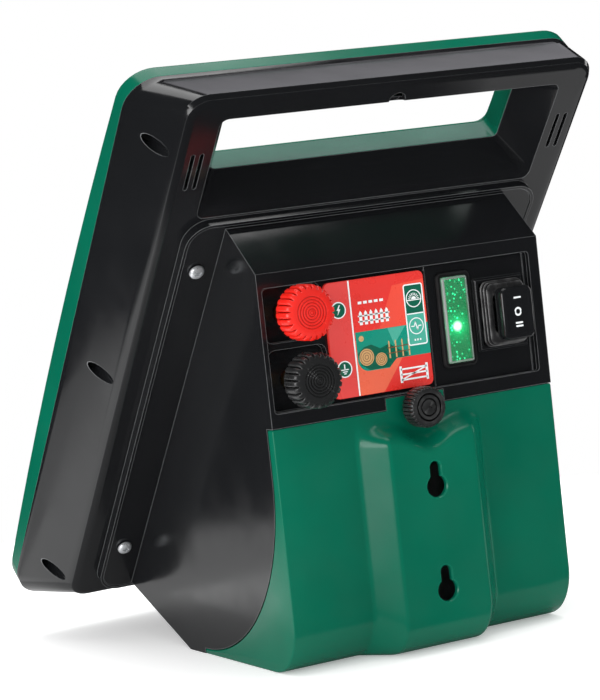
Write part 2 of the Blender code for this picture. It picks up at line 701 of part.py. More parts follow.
# ---- Cover screw ----
def cover_screw():
    x, z = THUMB
    loft(
        "thumb_knob",
        [
            ribbed_ring(THUMB, -3.4, 10.4, 10.0, 14),
            ribbed_ring(THUMB, -4.4, THUMB_R, 11.1, 14),
            ribbed_ring(THUMB, -13.4, THUMB_R, 11.1, 14),
            ribbed_ring(THUMB, -15.6, 9.6, 9.6, 14),
        ],
        KNOB_BLACK,
        origin=(x, -3.4, z),
    )
    washer = turned("thumb_washer", ((0.0, 7.0), (1.2, 7.0)), face_axis(THUMB, -1.5), 18, RUBBER,
                    origin=(x, -1.5, z))
    cut(washer, turned("bore", ((0.0, 2.6), (4.0, 2.6)), face_axis(THUMB, -3.0), 12))
    turned("thumb_shank", ((0.0, 2.2), (15.0, 2.2), (16.0, 1.6)), face_axis(THUMB, -3.1), 12, STEEL,
           origin=(x, -3.1, z))
    insert = turned("cover_insert", ((0.0, 3.1), (9.0, 3.1)), face_axis(THUMB, 3.6), 12, BRASS)
    cut(insert, turned("bore", ((0.0, 2.6), (14.0, 2.6)), face_axis(THUMB, 1.0), 12))


# ---- Indicator window ----
def window_outline(grow, radius, steps):
    """Rounded outline round the window's opening."""
    x, z = LED_WINDOW
    half_x = LED_OPENING[0] + grow
    half_z = LED_OPENING[1] + grow
    return rounded(x - half_x, x + half_x, z - half_z, z + half_z, radius, steps)


def window_hole():
    outline = window_outline(0.0, 1.5, 3)
    return loft("led_hole", [[(px, y, pz) for px, pz in outline] for y in (-OVERCUT, 12.0)])


def indicator():
    x, z = LED_WINDOW
    outline = window_outline(2.3, 3.4, 3)
    bezel = loft("window_bezel", [[(px, y, pz) for px, pz in outline] for y in (0.4, TRAY_Y - GAP)], RUBBER)
    cut(bezel, window_hole())
    rings = []
    for grow, radius, y in ((-1.8, 1.0, -1.2), (-0.4, 1.3, 0.4), (-0.4, 1.3, 5.4)):
        rings.append([(px, y, pz) for px, pz in window_outline(grow, radius, 3)])
    loft("window_lens", rings, LENS)
    box("led_board", x - 11.5, x + 11.5, 7.8, 9.4, z - 28.0, z + 28.0, BOARD)
    turned("status_led", ((0.0, 0.9), (0.7, 1.6), (1.7, 1.7)), face_axis((x - 0.2, z - 4.0), 5.8), 14, DIODE)


# ---- Switch ----
def switch():
    x, z = ROCKER
    cap = face_block("rocker_cap", x - 10.9, x + 10.9, z - 15.4, z + 15.4, 4.0, -18.0, -9.4, KNOB_BLACK, 4,
                     origin=(x, ROCKER_PIVOT_Y, z))
    join(cap, box("stem", x - 7.5, x + 7.5, -11.0, 5.0, z - 7.5, z + 7.5))
    steps = (  # half width, half height, y
        (15.6, 20.6, TRAY_Y - GAP),
        (15.6, 20.6, 1.0),
        (14.0, 19.0, 0.0),
        (14.0, 19.0, -2.6),
        (12.6, 17.4, -5.6),
    )
    rings = []
    for half_x, half_z, y in steps:
        outline = rounded(x - half_x, x + half_x, z - half_z, z + half_z, 4.0, 4)
        rings.append([(px, y, pz) for px, pz in outline])
    boot = loft("rocker_boot", rings, RUBBER)
    cut(boot, face_block("opening", x - 8.8, x + 8.8, z - 11.0, z + 11.0, 2.0, -9.0, 6.0))
    body = face_block("switch_body", x - 10.9, x + 10.9, z - 15.9, z + 15.9, 1.2, TRAY_Y + 0.2, 30.0, BLACK)
    cut(body, face_block("well", x - 8.6, x + 8.6, z - 10.6, z + 10.6, 1.0, 0.0, 12.0))


# ---- Electronics and battery ----
def electronics():
    box("circuit_board", -60.0, 84.0, 36.0, 37.6, 150.0, 230.0, BOARD)
    box("pulse_transformer", -82.0, -36.0, 42.0, 78.0, 147.0, 186.0, COPPER)
    turned("storage_capacitor", ((0.0, 17.0), (2.0, 18.0), (60.0, 18.0), (62.0, 17.0)),
           ((-22.0, 64.0, 166.0), (1, 0, 0)), 20, CAN)
    box("charge_regulator", 8.0, 40.0, 38.2, 56.0, 190.0, 212.0, ALU)
    half, y0, y1, z0, z1 = BATTERY
    box("battery", -half, half, y0, y1, z0, z1, CASE)
    for kind, side in (("plus", 1), ("minus", -1)):
        box(f"battery_tab_{kind}", *sorted((side * 58.0, side * 64.0)), 36.0, 37.0, z1 + 0.3, z1 + 8.0, BRASS)
    box("battery_foam", -60.0, 60.0, 36.0, 112.0, 8.9, 11.8, FOAM)
    strap = [(-half - 2.0, 9.4), (-half - 0.4, 9.4), (-half - 0.4, z1 + 0.4), (half + 0.4, z1 + 0.4),
             (half + 0.4, 9.4), (half + 2.0, 9.4), (half + 2.0, z1 + 2.0), (-half - 2.0, z1 + 2.0)]
    loft("battery_strap", [[(x, y, z) for x, z in strap] for y in (66.0, 88.0)], WEB)
    top = z1 + 8.3
    tube("battery_lead_red", [(61.0, 36.5, top), (61.0, 39.0, 121.0), (63.0, 50.0, 132.0),
                              (63.5, 59.0, 142.0), (70.0, 57.0, 160.0), (72.0, 47.0, 181.0),
                              (72.0, 38.6, 186.5)], 1.6, LEAD_RED)
    tube("battery_lead_black", [(-61.0, 36.5, top), (-58.0, 39.0, 121.0), (-20.0, 48.0, 128.0),
                                (35.0, 57.0, 130.0), (56.0, 61.5, 143.0), (59.0, 59.0, 166.0),
                                (60.0, 48.0, 192.0), (60.0, 38.8, 197.0)], 1.6, LEAD_BLACK)


rear_shell()
front_shell()
solar_panel()
screws()
flange_gasket()
housing()
battery_cover()
face_block("label_plate", -52.0, 14.5, 154.0, 221.0, 3.6, 0.8, TRAY_Y - GAP, LABEL, 4)
terminal("fence", FENCE_POST, KNOB_RED)
terminal("earth", EARTH_POST, KNOB_BLACK)
cover_screw()
indicator()
switch()
electronics()

# Round pieces shade smooth and keep their real edges.
for thing in bpy.context.scene.collection.objects:
    if thing.type != "MESH":
        continue
    thing.data.shade_smooth()
    thing.data.set_sharp_from_angle(angle=math.radians(32.0))
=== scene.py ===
"""Looks of the fence energizer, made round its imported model: finer shells, knobs, switch,
window, printed label and screws, procedural materials, a pale studio and the camera.
Lengths in the shape functions are millimetres in housing coordinates: X across the unit,
Y from the control face towards the panel, Z up.
"""

import json
import math

import bmesh
import bpy
from mathutils import Matrix, Vector, noise


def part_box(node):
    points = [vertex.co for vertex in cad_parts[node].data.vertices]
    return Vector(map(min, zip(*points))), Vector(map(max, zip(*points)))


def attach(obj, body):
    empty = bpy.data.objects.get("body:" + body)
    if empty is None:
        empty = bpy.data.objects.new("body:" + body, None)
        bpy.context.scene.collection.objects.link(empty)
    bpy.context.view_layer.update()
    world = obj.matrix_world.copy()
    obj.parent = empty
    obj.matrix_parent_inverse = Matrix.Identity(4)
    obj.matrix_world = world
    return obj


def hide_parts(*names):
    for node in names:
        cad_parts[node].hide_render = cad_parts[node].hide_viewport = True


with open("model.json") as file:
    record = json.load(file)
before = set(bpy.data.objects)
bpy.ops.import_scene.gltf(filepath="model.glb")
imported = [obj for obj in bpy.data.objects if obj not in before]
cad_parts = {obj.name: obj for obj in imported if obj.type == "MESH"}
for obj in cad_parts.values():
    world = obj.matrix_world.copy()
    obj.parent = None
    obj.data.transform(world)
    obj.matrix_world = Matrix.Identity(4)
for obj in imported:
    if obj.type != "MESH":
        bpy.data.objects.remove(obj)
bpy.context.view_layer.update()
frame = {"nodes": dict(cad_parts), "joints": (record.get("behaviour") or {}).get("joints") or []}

MM = 0.001
FACE_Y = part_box("housing")[0].y / MM  # world Y of the control face
JOINTS = {joint["name"]: joint for joint in frame["joints"]}


def post_of(joint):
    """x and z of a joint's axis, mm."""
    place = JOINTS[joint]["pos_m"]
    return (place[0] / MM, place[2] / MM)


def node_box(name):
    """Lowest and highest corner of a CAD node in housing coordinates, mm."""
    low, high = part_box(name)
    shift = Vector((0.0, FACE_Y, 0.0))
    return low / MM - shift, high / MM - shift


FENCE_POST = post_of("fence_knob_turn")
EARTH_POST = post_of("earth_knob_turn")
THUMB = post_of("cover_screw_turn")
ROCKER = post_of("rocker_tilt")
TILT = math.radians(39.96)  # panel plane, measured from the vertical
APEX = (30.0, 257.9)  # y, z where the housing's roof meets the panel frame
SIN = math.sin(TILT)
COS = math.cos(TILT)


# ---- Materials ----
class Paint:
    """Small builder for a procedural material on a Principled BSDF."""

    def __init__(self, name, roughness, metallic=0.0):
        self.material = bpy.data.materials.new(name)
        self.material.use_nodes = True
        self.tree = self.material.node_tree
        self.put("Roughness", roughness)
        self.put("Metallic", metallic)
        self.place = self.tree.nodes.new("ShaderNodeTexCoord").outputs["Object"]

    def feed(self, node, key, value):
        """Sets an input of a node, or links a socket to it."""
        if isinstance(value, bpy.types.NodeSocket):
            self.tree.links.new(value, node.inputs[key])
        else:
            node.inputs[key].default_value = value

    def put(self, key, value):
        """Sets or links an input of the surface itself."""
        self.feed(self.tree.nodes["Principled BSDF"], key, value)

    def node(self, kind, values, **settings):
        """Outputs of a new node; values are its inputs by name or number."""
        made = self.tree.nodes.new(kind)
        for key, value in settings.items():
            setattr(made, key, value)
        for key, value in values.items():
            self.feed(made, key, value)
        return made.outputs

    def noise(self, scale, detail, stretch=None):
        place = self.place
        if stretch:
            place = self.node("ShaderNodeMapping", {"Vector": place, "Scale": stretch})["Vector"]
        return self.node("ShaderNodeTexNoise", {"Vector": place, "Scale": scale, "Detail": detail})["Fac"]

    def cells(self, scale):
        """Outputs of a Voronoi texture at the object's own coordinates."""
        return self.node("ShaderNodeTexVoronoi", {"Vector": self.place, "Scale": scale})

    def maths(self, operation, *values):
        """Result of a Math node; each value is a number or a socket."""
        return self.node("ShaderNodeMath", dict(enumerate(values)), operation=operation)[0]

    def spread(self, source, low, high, start=0.3, end=0.7):
        """source, which runs about from start to end, as a value from low to high."""
        ends = {"From Min": start, "From Max": end, "To Min": low, "To Max": high}
        return self.node("ShaderNodeMapRange", {"Value": source, **ends})["Result"]

    def blend(self, share, first, second):
        """Mix of two colours; each is a tuple or a socket."""
        ends = [(*end, 1.0) if isinstance(end, tuple) else end for end in (first, second)]
        return self.node("ShaderNodeMix", {"Factor": share, 6: ends[0], 7: ends[1]}, data_type="RGBA")[2]

    def colour(self, source):
        self.put("Base Color", source)

    def rough(self, source):
        self.put("Roughness", source)

    def bumps(self, *layers):
        """Each layer is (height, distance in metres); they add up."""
        under = {}
        for height, distance in layers:
            normal = self.node("ShaderNodeBump", {"Distance": distance, "Height": height, **under})["Normal"]
            under = {"Normal": normal}
        self.put("Normal", normal)

    def edges(self, low, high):
        """Near 1 on convex edges and 0 elsewhere."""
        return self.spread(self.node("ShaderNodeNewGeometry", {})["Pointiness"], 0.0, 1.0, low, high)

    def corners(self, reach):
        """Near 1 within reach of a sharp edge and 0 on flat and smoothly curved faces."""
        rounding = self.node("ShaderNodeBevel", {"Radius": reach}, samples=6)["Normal"]
        facing = self.node("ShaderNodeNewGeometry", {})["Normal"]
        likeness = self.node("ShaderNodeVectorMath", {0: rounding, 1: facing}, operation="DOT_PRODUCT")
        return self.spread(likeness["Value"], 1.0, 0.0, 0.82, 0.99)


EDGE_REACH = 7.0e-4  # how far the light line on a sharp edge reaches, m


def shaded(colour, factor):
    return tuple(min(1.0, c * factor) for c in colour)


def plastic(name, colour, roughness, spread=0.05, grain=3.0e-6, grain_scale=2600.0, wear_and_highlight=None,
            groove=None, edge_highlight=None, specular=0.5):
    """Moulded plastic: faint colour drift, uneven gloss and fine grain. The wear and highlight colour
    lightens spots along convex edges, as wear and, on ribs and ridges, as a painted highlight; the
    edge highlight colour paints a light line along sharp edges, and groove paints shade into hollows."""
    paint = Paint(name, roughness)
    paint.put("Specular IOR Level", specular)
    drift = paint.spread(paint.noise(14.0, 4.0), 0.0, 1.0)
    base = paint.blend(drift, shaded(colour, 0.9), shaded(colour, 1.1))
    # Lighter spots along convex edges: wear, and on ribs and ridges a painted highlight.
    if wear_and_highlight:
        patches = paint.spread(paint.noise(160.0, 5.0), 0.15, 1.0, 0.4, 0.65)
        base = paint.blend(paint.maths("MULTIPLY", paint.edges(0.52, 0.62), patches), base, wear_and_highlight)
    # Painted highlight: a lighter line along sharp edges.
    if edge_highlight:
        base = paint.blend(paint.corners(EDGE_REACH), base, edge_highlight)
    # Painted shade: a darker colour in hollows.
    if groove:
        base = paint.blend(paint.edges(0.44, 0.5), groove, base)
    paint.colour(base)
    paint.rough(paint.spread(paint.noise(38.0, 6.0), roughness - spread, roughness + spread))
    paint.bumps((paint.noise(grain_scale, 2.0), grain))
    return paint.material


def metal(name, colour, roughness, stretch=(1.0, 1.0, 1.0), metallic=1.0):
    """Plated or bare metal: streaked gloss and small stains."""
    paint = Paint(name, roughness, metallic)
    stains = paint.spread(paint.noise(220.0, 5.0), 0.0, 1.0, 0.45, 0.75)
    paint.colour(paint.blend(stains, colour, shaded(colour, 0.8)))
    paint.rough(paint.spread(paint.noise(900.0, 3.0, stretch), roughness - 0.08, roughness + 0.12))
    paint.bumps((paint.noise(1500.0, 2.0, stretch), 4.0e-6))
    return paint.material


def rubber(name, colour):
    paint = Paint(name, 0.55)
    dust = paint.spread(paint.noise(70.0, 6.0), 0.0, 1.0, 0.5, 0.75)
    paint.colour(paint.blend(dust, colour, shaded(colour, 1.7)))
    paint.rough(paint.spread(paint.noise(120.0, 4.0), 0.47, 0.65))
    paint.bumps((paint.noise(1800.0, 3.0), 1.2e-5))
    return paint.material


def film(name, colour, second):
    """Printed label film with a slight dot screen in its colour."""
    paint = Paint(name, 0.3)
    screen = paint.spread(paint.cells(1500.0)["Distance"], 0.0, 0.35, 0.2, 0.6)
    paint.colour(paint.blend(screen, colour, second))
    paint.rough(paint.spread(paint.noise(90.0, 4.0), 0.24, 0.36))
    paint.bumps((paint.noise(900.0, 2.0), 2.0e-6))
    paint.put("Coat Weight", 0.25)
    paint.put("Coat Roughness", 0.15)
    return paint.material


def clear(name, colour, roughness, ior=1.5, transmission=1.0):
    paint = Paint(name, roughness)
    smudge = paint.spread(paint.noise(60.0, 5.0), 0.0, 1.0, 0.5, 0.8)
    paint.colour(paint.blend(smudge, colour, shaded(colour, 0.96)))
    paint.rough(paint.spread(paint.noise(80.0, 5.0), roughness, roughness + 0.06))
    paint.bumps((paint.noise(40.0, 2.0), 4.0e-6))
    paint.put("Transmission Weight", transmission)
    paint.put("IOR", ior)
    return paint.material


# Gloss black: a paler line along its sharp edges, a painted highlight.
BLACK = plastic("gloss_black", (0.008, 0.0085, 0.0095), 0.16, 0.05, 5.0e-7, 1800.0,
                edge_highlight=(0.17, 0.175, 0.18))
SATIN = plastic("satin_black", (0.012, 0.012, 0.013), 0.34, 0.06, 5.0e-6, 2400.0, (0.05, 0.05, 0.052))
# Green shell: a lighter green line along its sharp edges, a painted highlight.
GREEN = plastic("green_shell", (0.0, 0.112, 0.064), 0.22, 0.04, 2.5e-6, 2200.0, edge_highlight=(0.015, 0.24, 0.15),
                specular=0.32)
# Knobs: their lighter rib edges are a painted highlight and their darker grooves painted shade.
KNOB_BLACK = plastic("knob_black", (0.014, 0.0145, 0.015), 0.24, 0.06, 6.0e-6, 2200.0, (0.12, 0.12, 0.12),
                     (0.003, 0.003, 0.003))
KNOB_RED = plastic("knob_red", (0.7, 0.012, 0.006), 0.3, 0.06, 4.0e-6, 2200.0, (0.8, 0.05, 0.035),
                   (0.22, 0.002, 0.001))
RUBBER = rubber("black_rubber", (0.011, 0.011, 0.012))
# Boot: its lighter ridge edges are a painted highlight.
BOOT_RUBBER = plastic("boot_rubber", (0.013, 0.013, 0.014), 0.24, 0.06, 8.0e-6, 1800.0, (0.24, 0.24, 0.24))
ZINC = metal("zinc_steel", (0.78, 0.8, 0.82), 0.32, metallic=0.7)
BRASS = metal("turned_brass", (0.72, 0.5, 0.2), 0.28, (1.0, 8.0, 1.0))
ALU = metal("drawn_aluminium", (0.72, 0.73, 0.74), 0.36, (1.0, 1.0, 9.0))
COPPER = metal("varnished_copper", (0.62, 0.24, 0.09), 0.3, (1.0, 1.0, 14.0))
GLASS = clear("panel_glass", (0.95, 0.98, 0.97), 0.0)
LENS = clear("window_lens", (0.93, 1.0, 0.96), 0.02, 1.45)


def cell_film():
    """Blue-black silicon with its crystal patches."""
    paint = Paint("silicon_cells", 0.25)
    share = paint.node("ShaderNodeSeparateColor", {0: paint.cells(130.0)["Color"]})
    paint.colour(paint.blend(share[0], (0.004, 0.007, 0.03), (0.012, 0.025, 0.085)))
    paint.rough(paint.spread(share[1], 0.18, 0.36, 0.0, 1.0))
    paint.bumps((paint.noise(700.0, 2.0), 3.0e-6))
    return paint.material


def board_paint(name):
    """Solder mask with tracks and brighter green specks, which are painted glints of glitter."""
    paint = Paint(name, 0.35)
    specks = paint.cells(520.0)["Distance"]
    # Painted glints: brighter green specks.
    glitter_glints = paint.spread(specks, 1.0, 0.0, 0.1, 0.34)
    tracks = paint.spread(paint.noise(240.0, 5.0, (1.0, 1.0, 0.4)), 0.0, 1.0, 0.45, 0.6)
    mask = paint.blend(tracks, (0.0, 0.16, 0.05), (0.0, 0.32, 0.1))
    paint.colour(paint.blend(glitter_glints, mask, (0.1, 0.75, 0.32)))
    paint.rough(paint.spread(paint.noise(300.0, 4.0), 0.2, 0.5))
    paint.bumps((specks, 1.5e-4), (paint.noise(700.0, 3.0), 5.0e-5))
    return paint.material


def glowing(name, colour, strength):
    paint = Paint(name, 0.2)
    flicker = paint.spread(paint.noise(500.0, 2.0), 0.9, 1.1)
    paint.colour(paint.blend(flicker, colour, colour))
    paint.put("Emission Color", (*colour, 1.0))
    paint.put("Emission Strength", paint.maths("MULTIPLY", flicker, strength))
    return paint.material


def woven(name, colour):
    """Flat webbing: two crossed wave patterns lift the threads."""
    paint = Paint(name, 0.75)
    waves = []
    for direction in ("X", "Z"):
        threads = {"Vector": paint.place, "Scale": 420.0, "Distortion": 0.6}
        waves.append(paint.node("ShaderNodeTexWave", threads, bands_direction=direction)["Fac"])
    paint.colour(paint.blend(waves[0], shaded(colour, 0.6), shaded(colour, 1.4)))
    paint.bumps((waves[0], 1.0e-4), (waves[1], 1.0e-4))
    paint.put("Sheen Weight", 0.2)
    return paint.material


def foamed(name, colour):
    paint = Paint(name, 0.9)
    bubbles = paint.cells(700.0)["Distance"]
    paint.colour(paint.blend(bubbles, shaded(colour, 0.6), shaded(colour, 1.3)))
    paint.bumps((bubbles, 2.0e-4))
    return paint.material


# ---- Geometry helpers ----
def metres(point):
    return Vector((point[0], point[1] + FACE_Y, point[2])) * MM


def slope(x, s, n):
    """Point on the tilted frame: s runs up the panel, n outwards from the flange plane."""
    return (x, APEX[0] - SIN * s + COS * n, APEX[1] + COS * s + SIN * n)


def arc(start, end, steps):
    """Angles from start to end, given in degrees."""
    return [math.radians(start + (end - start) * k / steps) for k in range(steps + 1)]


def shown(name, data):
    """New object in the scene."""
    made = bpy.data.objects.new(name, data)
    bpy.context.scene.collection.objects.link(made)
    return made


def closed_mesh(name, points, faces):
    """Mesh through points in metres, its faces turned outwards."""
    mesh = bpy.data.meshes.new(name)
    mesh.from_pydata(points, [], faces)
    build = bmesh.new()
    build.from_mesh(mesh)
    bmesh.ops.remove_doubles(build, verts=build.verts, dist=1e-6)
    bmesh.ops.recalc_face_normals(build, faces=build.faces)
    build.to_mesh(mesh)
    build.free()
    return mesh


def add_piece(name, points, faces, paint, smooth=32.0):
    """Piece through points in mm; edges sharper than smooth degrees stay sharp."""
    mesh = closed_mesh(name, [metres(p) for p in points], faces)
    made = shown(name, mesh)
    mesh.materials.append(paint)
    mesh.shade_smooth()
    mesh.set_sharp_from_angle(angle=math.radians(smooth))
    return made


def loop_faces(count, rings):
    """Faces of a ring-shaped solid: its last ring of points joins the first."""
    faces = []
    for r in range(rings):
        for i in range(count):
            j = (i + 1) % count
            low = r * count
            high = (r + 1) % rings * count
            faces.append((low + i, low + j, high + j, high + i))
    return faces


def ring_faces(count, rings):
    """Faces of a solid through rings of count points, with both ends closed."""
    last = (rings - 1) * count
    ends = [tuple(reversed(range(count))), tuple(range(last, last + count))]
    return loop_faces(count, rings)[:last] + ends


def moved(faces, start):
    """The faces with start added to each index."""
    return [tuple(start + i for i in face) for face in faces]


def ring_at(y, outline):
    return [(x, y, z) for x, z in outline]


def loft(name, rings, paint, **more):
    points = [p for ring in rings for p in ring]
    return add_piece(name, points, ring_faces(len(rings[0]), len(rings)), paint, **more)


def rounded(x0, x1, v0, v1, radius, steps=8):
    """Corner-rounded rectangle as (x, v) pairs, anticlockwise from the lower right."""
    corners = (
        (x1 - radius, v0 + radius, -90.0),
        (x1 - radius, v1 - radius, 0.0),
        (x0 + radius, v1 - radius, 90.0),
        (x0 + radius, v0 + radius, 180.0),
    )
    points = []
    for cx, cv, start in corners:
        for k in range(steps + 1):
            angle = math.radians(start + 90.0 * k / steps)
            points.append((cx + radius * math.cos(angle), cv + radius * math.sin(angle)))
    return points


def centred(x, z, half_x, half_z, radius):
    """Corner-rounded rectangle round a middle point."""
    return rounded(x - half_x, x + half_x, z - half_z, z + half_z, radius)


def swept(x, z, radius, angles):
    return [(x + radius * math.cos(a), z + radius * math.sin(a)) for a in angles]


def circle(x, z, radius, sides=48):
    return swept(x, z, radius, [2.0 * math.pi * k / sides for k in range(sides)])


def oblong(x0, z0, x1, z1):
    return ((x0, z0), (x1, z0), (x1, z1), (x0, z1))


def band(name, rings, paint, **more):
    """Ring-shaped solid through outlines of equal length."""
    points = [p for ring in rings for p in ring]
    return add_piece(name, points, loop_faces(len(rings[0]), len(rings)), paint, **more)


def frame_rings(low, high, radius, stations, steps=6):
    """Rounded outlines round a box's face, each moved in by its inset to its y."""
    rings = []
    for inset, y in stations:
        corner = max(radius - inset, 0.4)
        outline = rounded(low.x + inset, high.x - inset, low.z + inset, high.z - inset, corner, steps)
        rings.append(ring_at(y, outline))
    return rings


def settle(piece, body, slot_name, *nodes):
    """Puts a finished piece on its body and hides the nodes that it stands for. slot_name is not used."""
    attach(piece, body)
    if nodes:
        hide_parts(*nodes)


def bake(piece):
    """Applies the piece's modifiers."""
    bpy.context.view_layer.update()
    graph = bpy.context.evaluated_depsgraph_get()
    mesh = bpy.data.meshes.new_from_object(piece.evaluated_get(graph))
    old = piece.data
    piece.modifiers.clear()
    piece.data = mesh
    bpy.data.meshes.remove(old)
    return piece


def soften(piece, width):
    """Rounds the sharp edges of a piece by width, mm, and evens its shading."""
    bevel = piece.modifiers.new("edges", "BEVEL")
    bevel.width = width * MM
    bevel.segments = 3
    bevel.limit_method = "ANGLE"
    bevel.angle_limit = math.radians(28.0)
    bevel.use_clamp_overlap = True
    bevel.harden_normals = False
    bake(piece)
    piece.data.shade_smooth()
    piece.data.set_sharp_from_angle(angle=math.radians(40.0))
    even = piece.modifiers.new("even", "WEIGHTED_NORMAL")
    even.keep_sharp = True
    return bake(piece)


FLAT = math.radians(0.15)  # faces that meet at less than this are one


def refined(node, name, paint, width):
    """Copy of a CAD node with its flat faces merged and its edges rounded."""
    mesh = frame["nodes"][node].data.copy()
    mesh.name = name
    build = bmesh.new()
    build.from_mesh(mesh)
    bmesh.ops.remove_doubles(build, verts=build.verts, dist=1e-6)
    bmesh.ops.dissolve_limit(build, angle_limit=FLAT, verts=build.verts, edges=build.edges,
                             use_dissolve_boundaries=False)
    build.to_mesh(mesh)
    build.free()
    mesh.materials.clear()
    mesh.materials.append(paint)
    return soften(shown(name, mesh), width)


# ---- Shells ----
COVER_TOP = 143.0
HALF_W = 95.0
COVER_WALL = 3.0
PAD_DEPTH = 15.0
PAD_FOOT = 42.0  # half width of the hanging pad at the cover's face and at its own face
PAD_FACE = 28.5
PAD_TOP = 137.0
PAD_MIDDLE = 60.0  # a height at which the pad is at its full depth
PAD_DIP = 9.0  # how far the pad's top edge swings down under the cover screw
COVER_ARC = (118.6, 115.0, 112.0)  # y, z and radius of the cover's curved side edge
COVER_END = 119.2
KEYHOLES = (97.0, 36.0)  # z of the round heads


def clamp_soft(t, foot, crest):
    """t held between 0 and 1, with parabolic blends of half width foot and crest."""
    if t <= -foot:
        return 0.0
    if t < foot:
        return (t + foot) ** 2 / (4.0 * foot)
    if t <= 1.0 - crest:
        return t
    if t < 1.0 + crest:
        return 1.0 - (1.0 + crest - t) ** 2 / (4.0 * crest)
    return 1.0


def pad_height(x, z):
    """Share of the pad's depth at a point of the cover's front."""
    side = clamp_soft((PAD_FOOT - abs(x)) / (PAD_FOOT - PAD_FACE), 0.12, 0.1)
    edge = PAD_TOP - PAD_DIP * math.exp(-((x / 15.0) ** 2))
    top = clamp_soft((edge - z) / 9.5, 0.34, 0.34)
    return side * top


def lower_turn(share):
    """Height and depth of the cover's lower turn for a share of the pad's depth."""
    return 32.0 - 6.0 * share, 30.0 - 19.0 * share


def cover_section(x, inset):
    """Closed (y, z) outline of the cover at x; inset moves it inwards."""
    levels = [COVER_TOP - inset, COVER_TOP - 0.25 - inset, COVER_TOP - 0.8 - inset]
    levels += [COVER_TOP - 1.5 - inset - 0.65 * k for k in range(52)]
    base = PAD_DEPTH * pad_height(x, PAD_MIDDLE)
    turn_z, reach = lower_turn(base / PAD_DEPTH)
    levels += [98.0, 84.0, 70.0, 56.0, 42.0]
    points = []
    for k, z in enumerate(levels):
        round_off = (0.8, 0.2)[k] if k < 2 else 0.0
        points.append((inset + round_off - PAD_DEPTH * pad_height(x, z), z))
    for k in range(15):
        angle = math.radians(180.0 + 90.0 * k / 14.0)
        wide = reach + base - inset
        high = turn_z - inset
        points.append((reach + wide * math.cos(angle), turn_z + high * math.sin(angle)))
    points.append((COVER_END - 0.8 - inset, inset))
    points.append((COVER_END - inset, inset + 0.8))
    cy, cz, radius = COVER_ARC
    for k in range(49):
        angle = math.radians(270.0 - 90.0 * k / 48.0)
        radial = radius + inset
        points.append((min(cy + radial * math.cos(angle), COVER_END - inset), cz + radial * math.sin(angle)))
    points.append((cy - radius - inset, COVER_TOP - 0.6 - inset))
    points.append((cy - radius - inset - 0.6, COVER_TOP - inset))
    return points


def cover_inside(x):
    """Closed (y, z) outline of the hollow, open at the top and the back."""
    points = []
    levels = [COVER_TOP + 8.0, 138.0, 134.0, 131.0, 128.0, 125.0, 122.0, 118.0, 114.0, 60.0]
    share = pad_height(x, PAD_MIDDLE)
    turn_z, reach = lower_turn(share)
    for z in levels:
        points.append((COVER_WALL - PAD_DEPTH * pad_height(x, z + 2.0), z))
    wide = reach + PAD_DEPTH * share - COVER_WALL
    for k in range(9):
        angle = math.radians(180.0 + 90.0 * k / 8.0)
        points.append((reach + wide * math.cos(angle), turn_z + (turn_z - COVER_WALL) * math.sin(angle)))
    return points + [(COVER_END + 8.0, COVER_WALL), (COVER_END + 8.0, COVER_TOP + 8.0)]


def combine(target, other, operation="DIFFERENCE"):
    """Cuts other from target, or joins it on, and removes other."""
    step = target.modifiers.new("step", "BOOLEAN")
    step.operation = operation
    step.solver = "EXACT"
    step.object = other
    bake(target)
    bpy.data.objects.remove(other)


def keyhole_outline(z, grow):
    """Round head with a narrower slot above it."""
    head_r = 6.5 + grow
    slot_r = 3.5 + grow
    start = math.radians(90.0) - math.asin(slot_r / head_r)
    outline = []
    for k in range(33):
        angle = start - k * (math.pi + 2.0 * start) / 32.0
        outline.append((head_r * math.cos(angle), z + head_r * math.sin(angle)))
    for k in range(13):
        angle = math.pi - math.pi * k / 12.0
        outline.append((slot_r * math.cos(angle), z + 11.0 + slot_r * math.sin(angle)))
    return outline


def cover_shell():
    """Cover lofted across its width, closer together over the pad's flanks, and hollowed."""
    columns = [HALF_W, HALF_W - 0.15, HALF_W - 0.5, HALF_W - 1.0, 80.0, 60.0, 48.0]
    columns += [PAD_FOOT + 2.0 - 0.55 * k for k in range(31)]
    columns += [27.0 - 0.9 * k for k in range(30)]
    insets = {HALF_W: 1.0, HALF_W - 0.15: 0.5, HALF_W - 0.5: 0.15}
    across = [-x for x in columns] + columns[::-1]
    rings = [[(x, y, z) for y, z in cover_section(x, insets.get(abs(x), 0.0))] for x in across]
    shell = loft("cover_shell", rings, GREEN)
    inner = [HALF_W - COVER_WALL, 60.0, 41.0, 39.0, 36.0, 33.0, 30.0, 26.0, 22.0, 18.0, 14.0, 10.0, 6.0, 2.0]
    inner_across = [-x for x in inner] + inner[::-1]
    hollow = loft("hollow", [[(x, y, z) for y, z in cover_inside(x)] for x in inner_across], GREEN)
    combine(shell, hollow)
    tab = rounded(-19.4, 19.4, 138.0, 149.9, 0.6, 3)
    combine(shell, loft("tab", [ring_at(y, tab) for y in (0.0, 2.9)], GREEN), "UNION")
    for z in KEYHOLES:
        rings = []
        for y, grow in ((-19.0, 0.7), (-PAD_DEPTH - 0.05, 0.7), (-PAD_DEPTH + 0.7, 0.0), (-7.0, 0.0)):
            rings.append(ring_at(y, keyhole_outline(z, grow)))
        combine(shell, loft("keyhole", rings, GREEN))
    hole = [ring_at(y, circle(*THUMB, 2.7, 24)) for y in (-6.0, 6.0)]
    combine(shell, loft("hole", hole, GREEN))
    shell.data.shade_smooth()
    shell.data.set_sharp_from_angle(angle=math.radians(38.0))
    settle(shell, "cover", "green_shell", "battery_cover")


settle(refined("rear_shell", "frame_back", BLACK, 0.9), "main", "black_shell", "rear_shell")
settle(refined("front_shell", "frame_front", GREEN, 0.8), "main", "green_shell", "front_shell")
settle(refined("housing", "case", BLACK, 0.8), "main", "black_shell", "housing")
cover_shell()


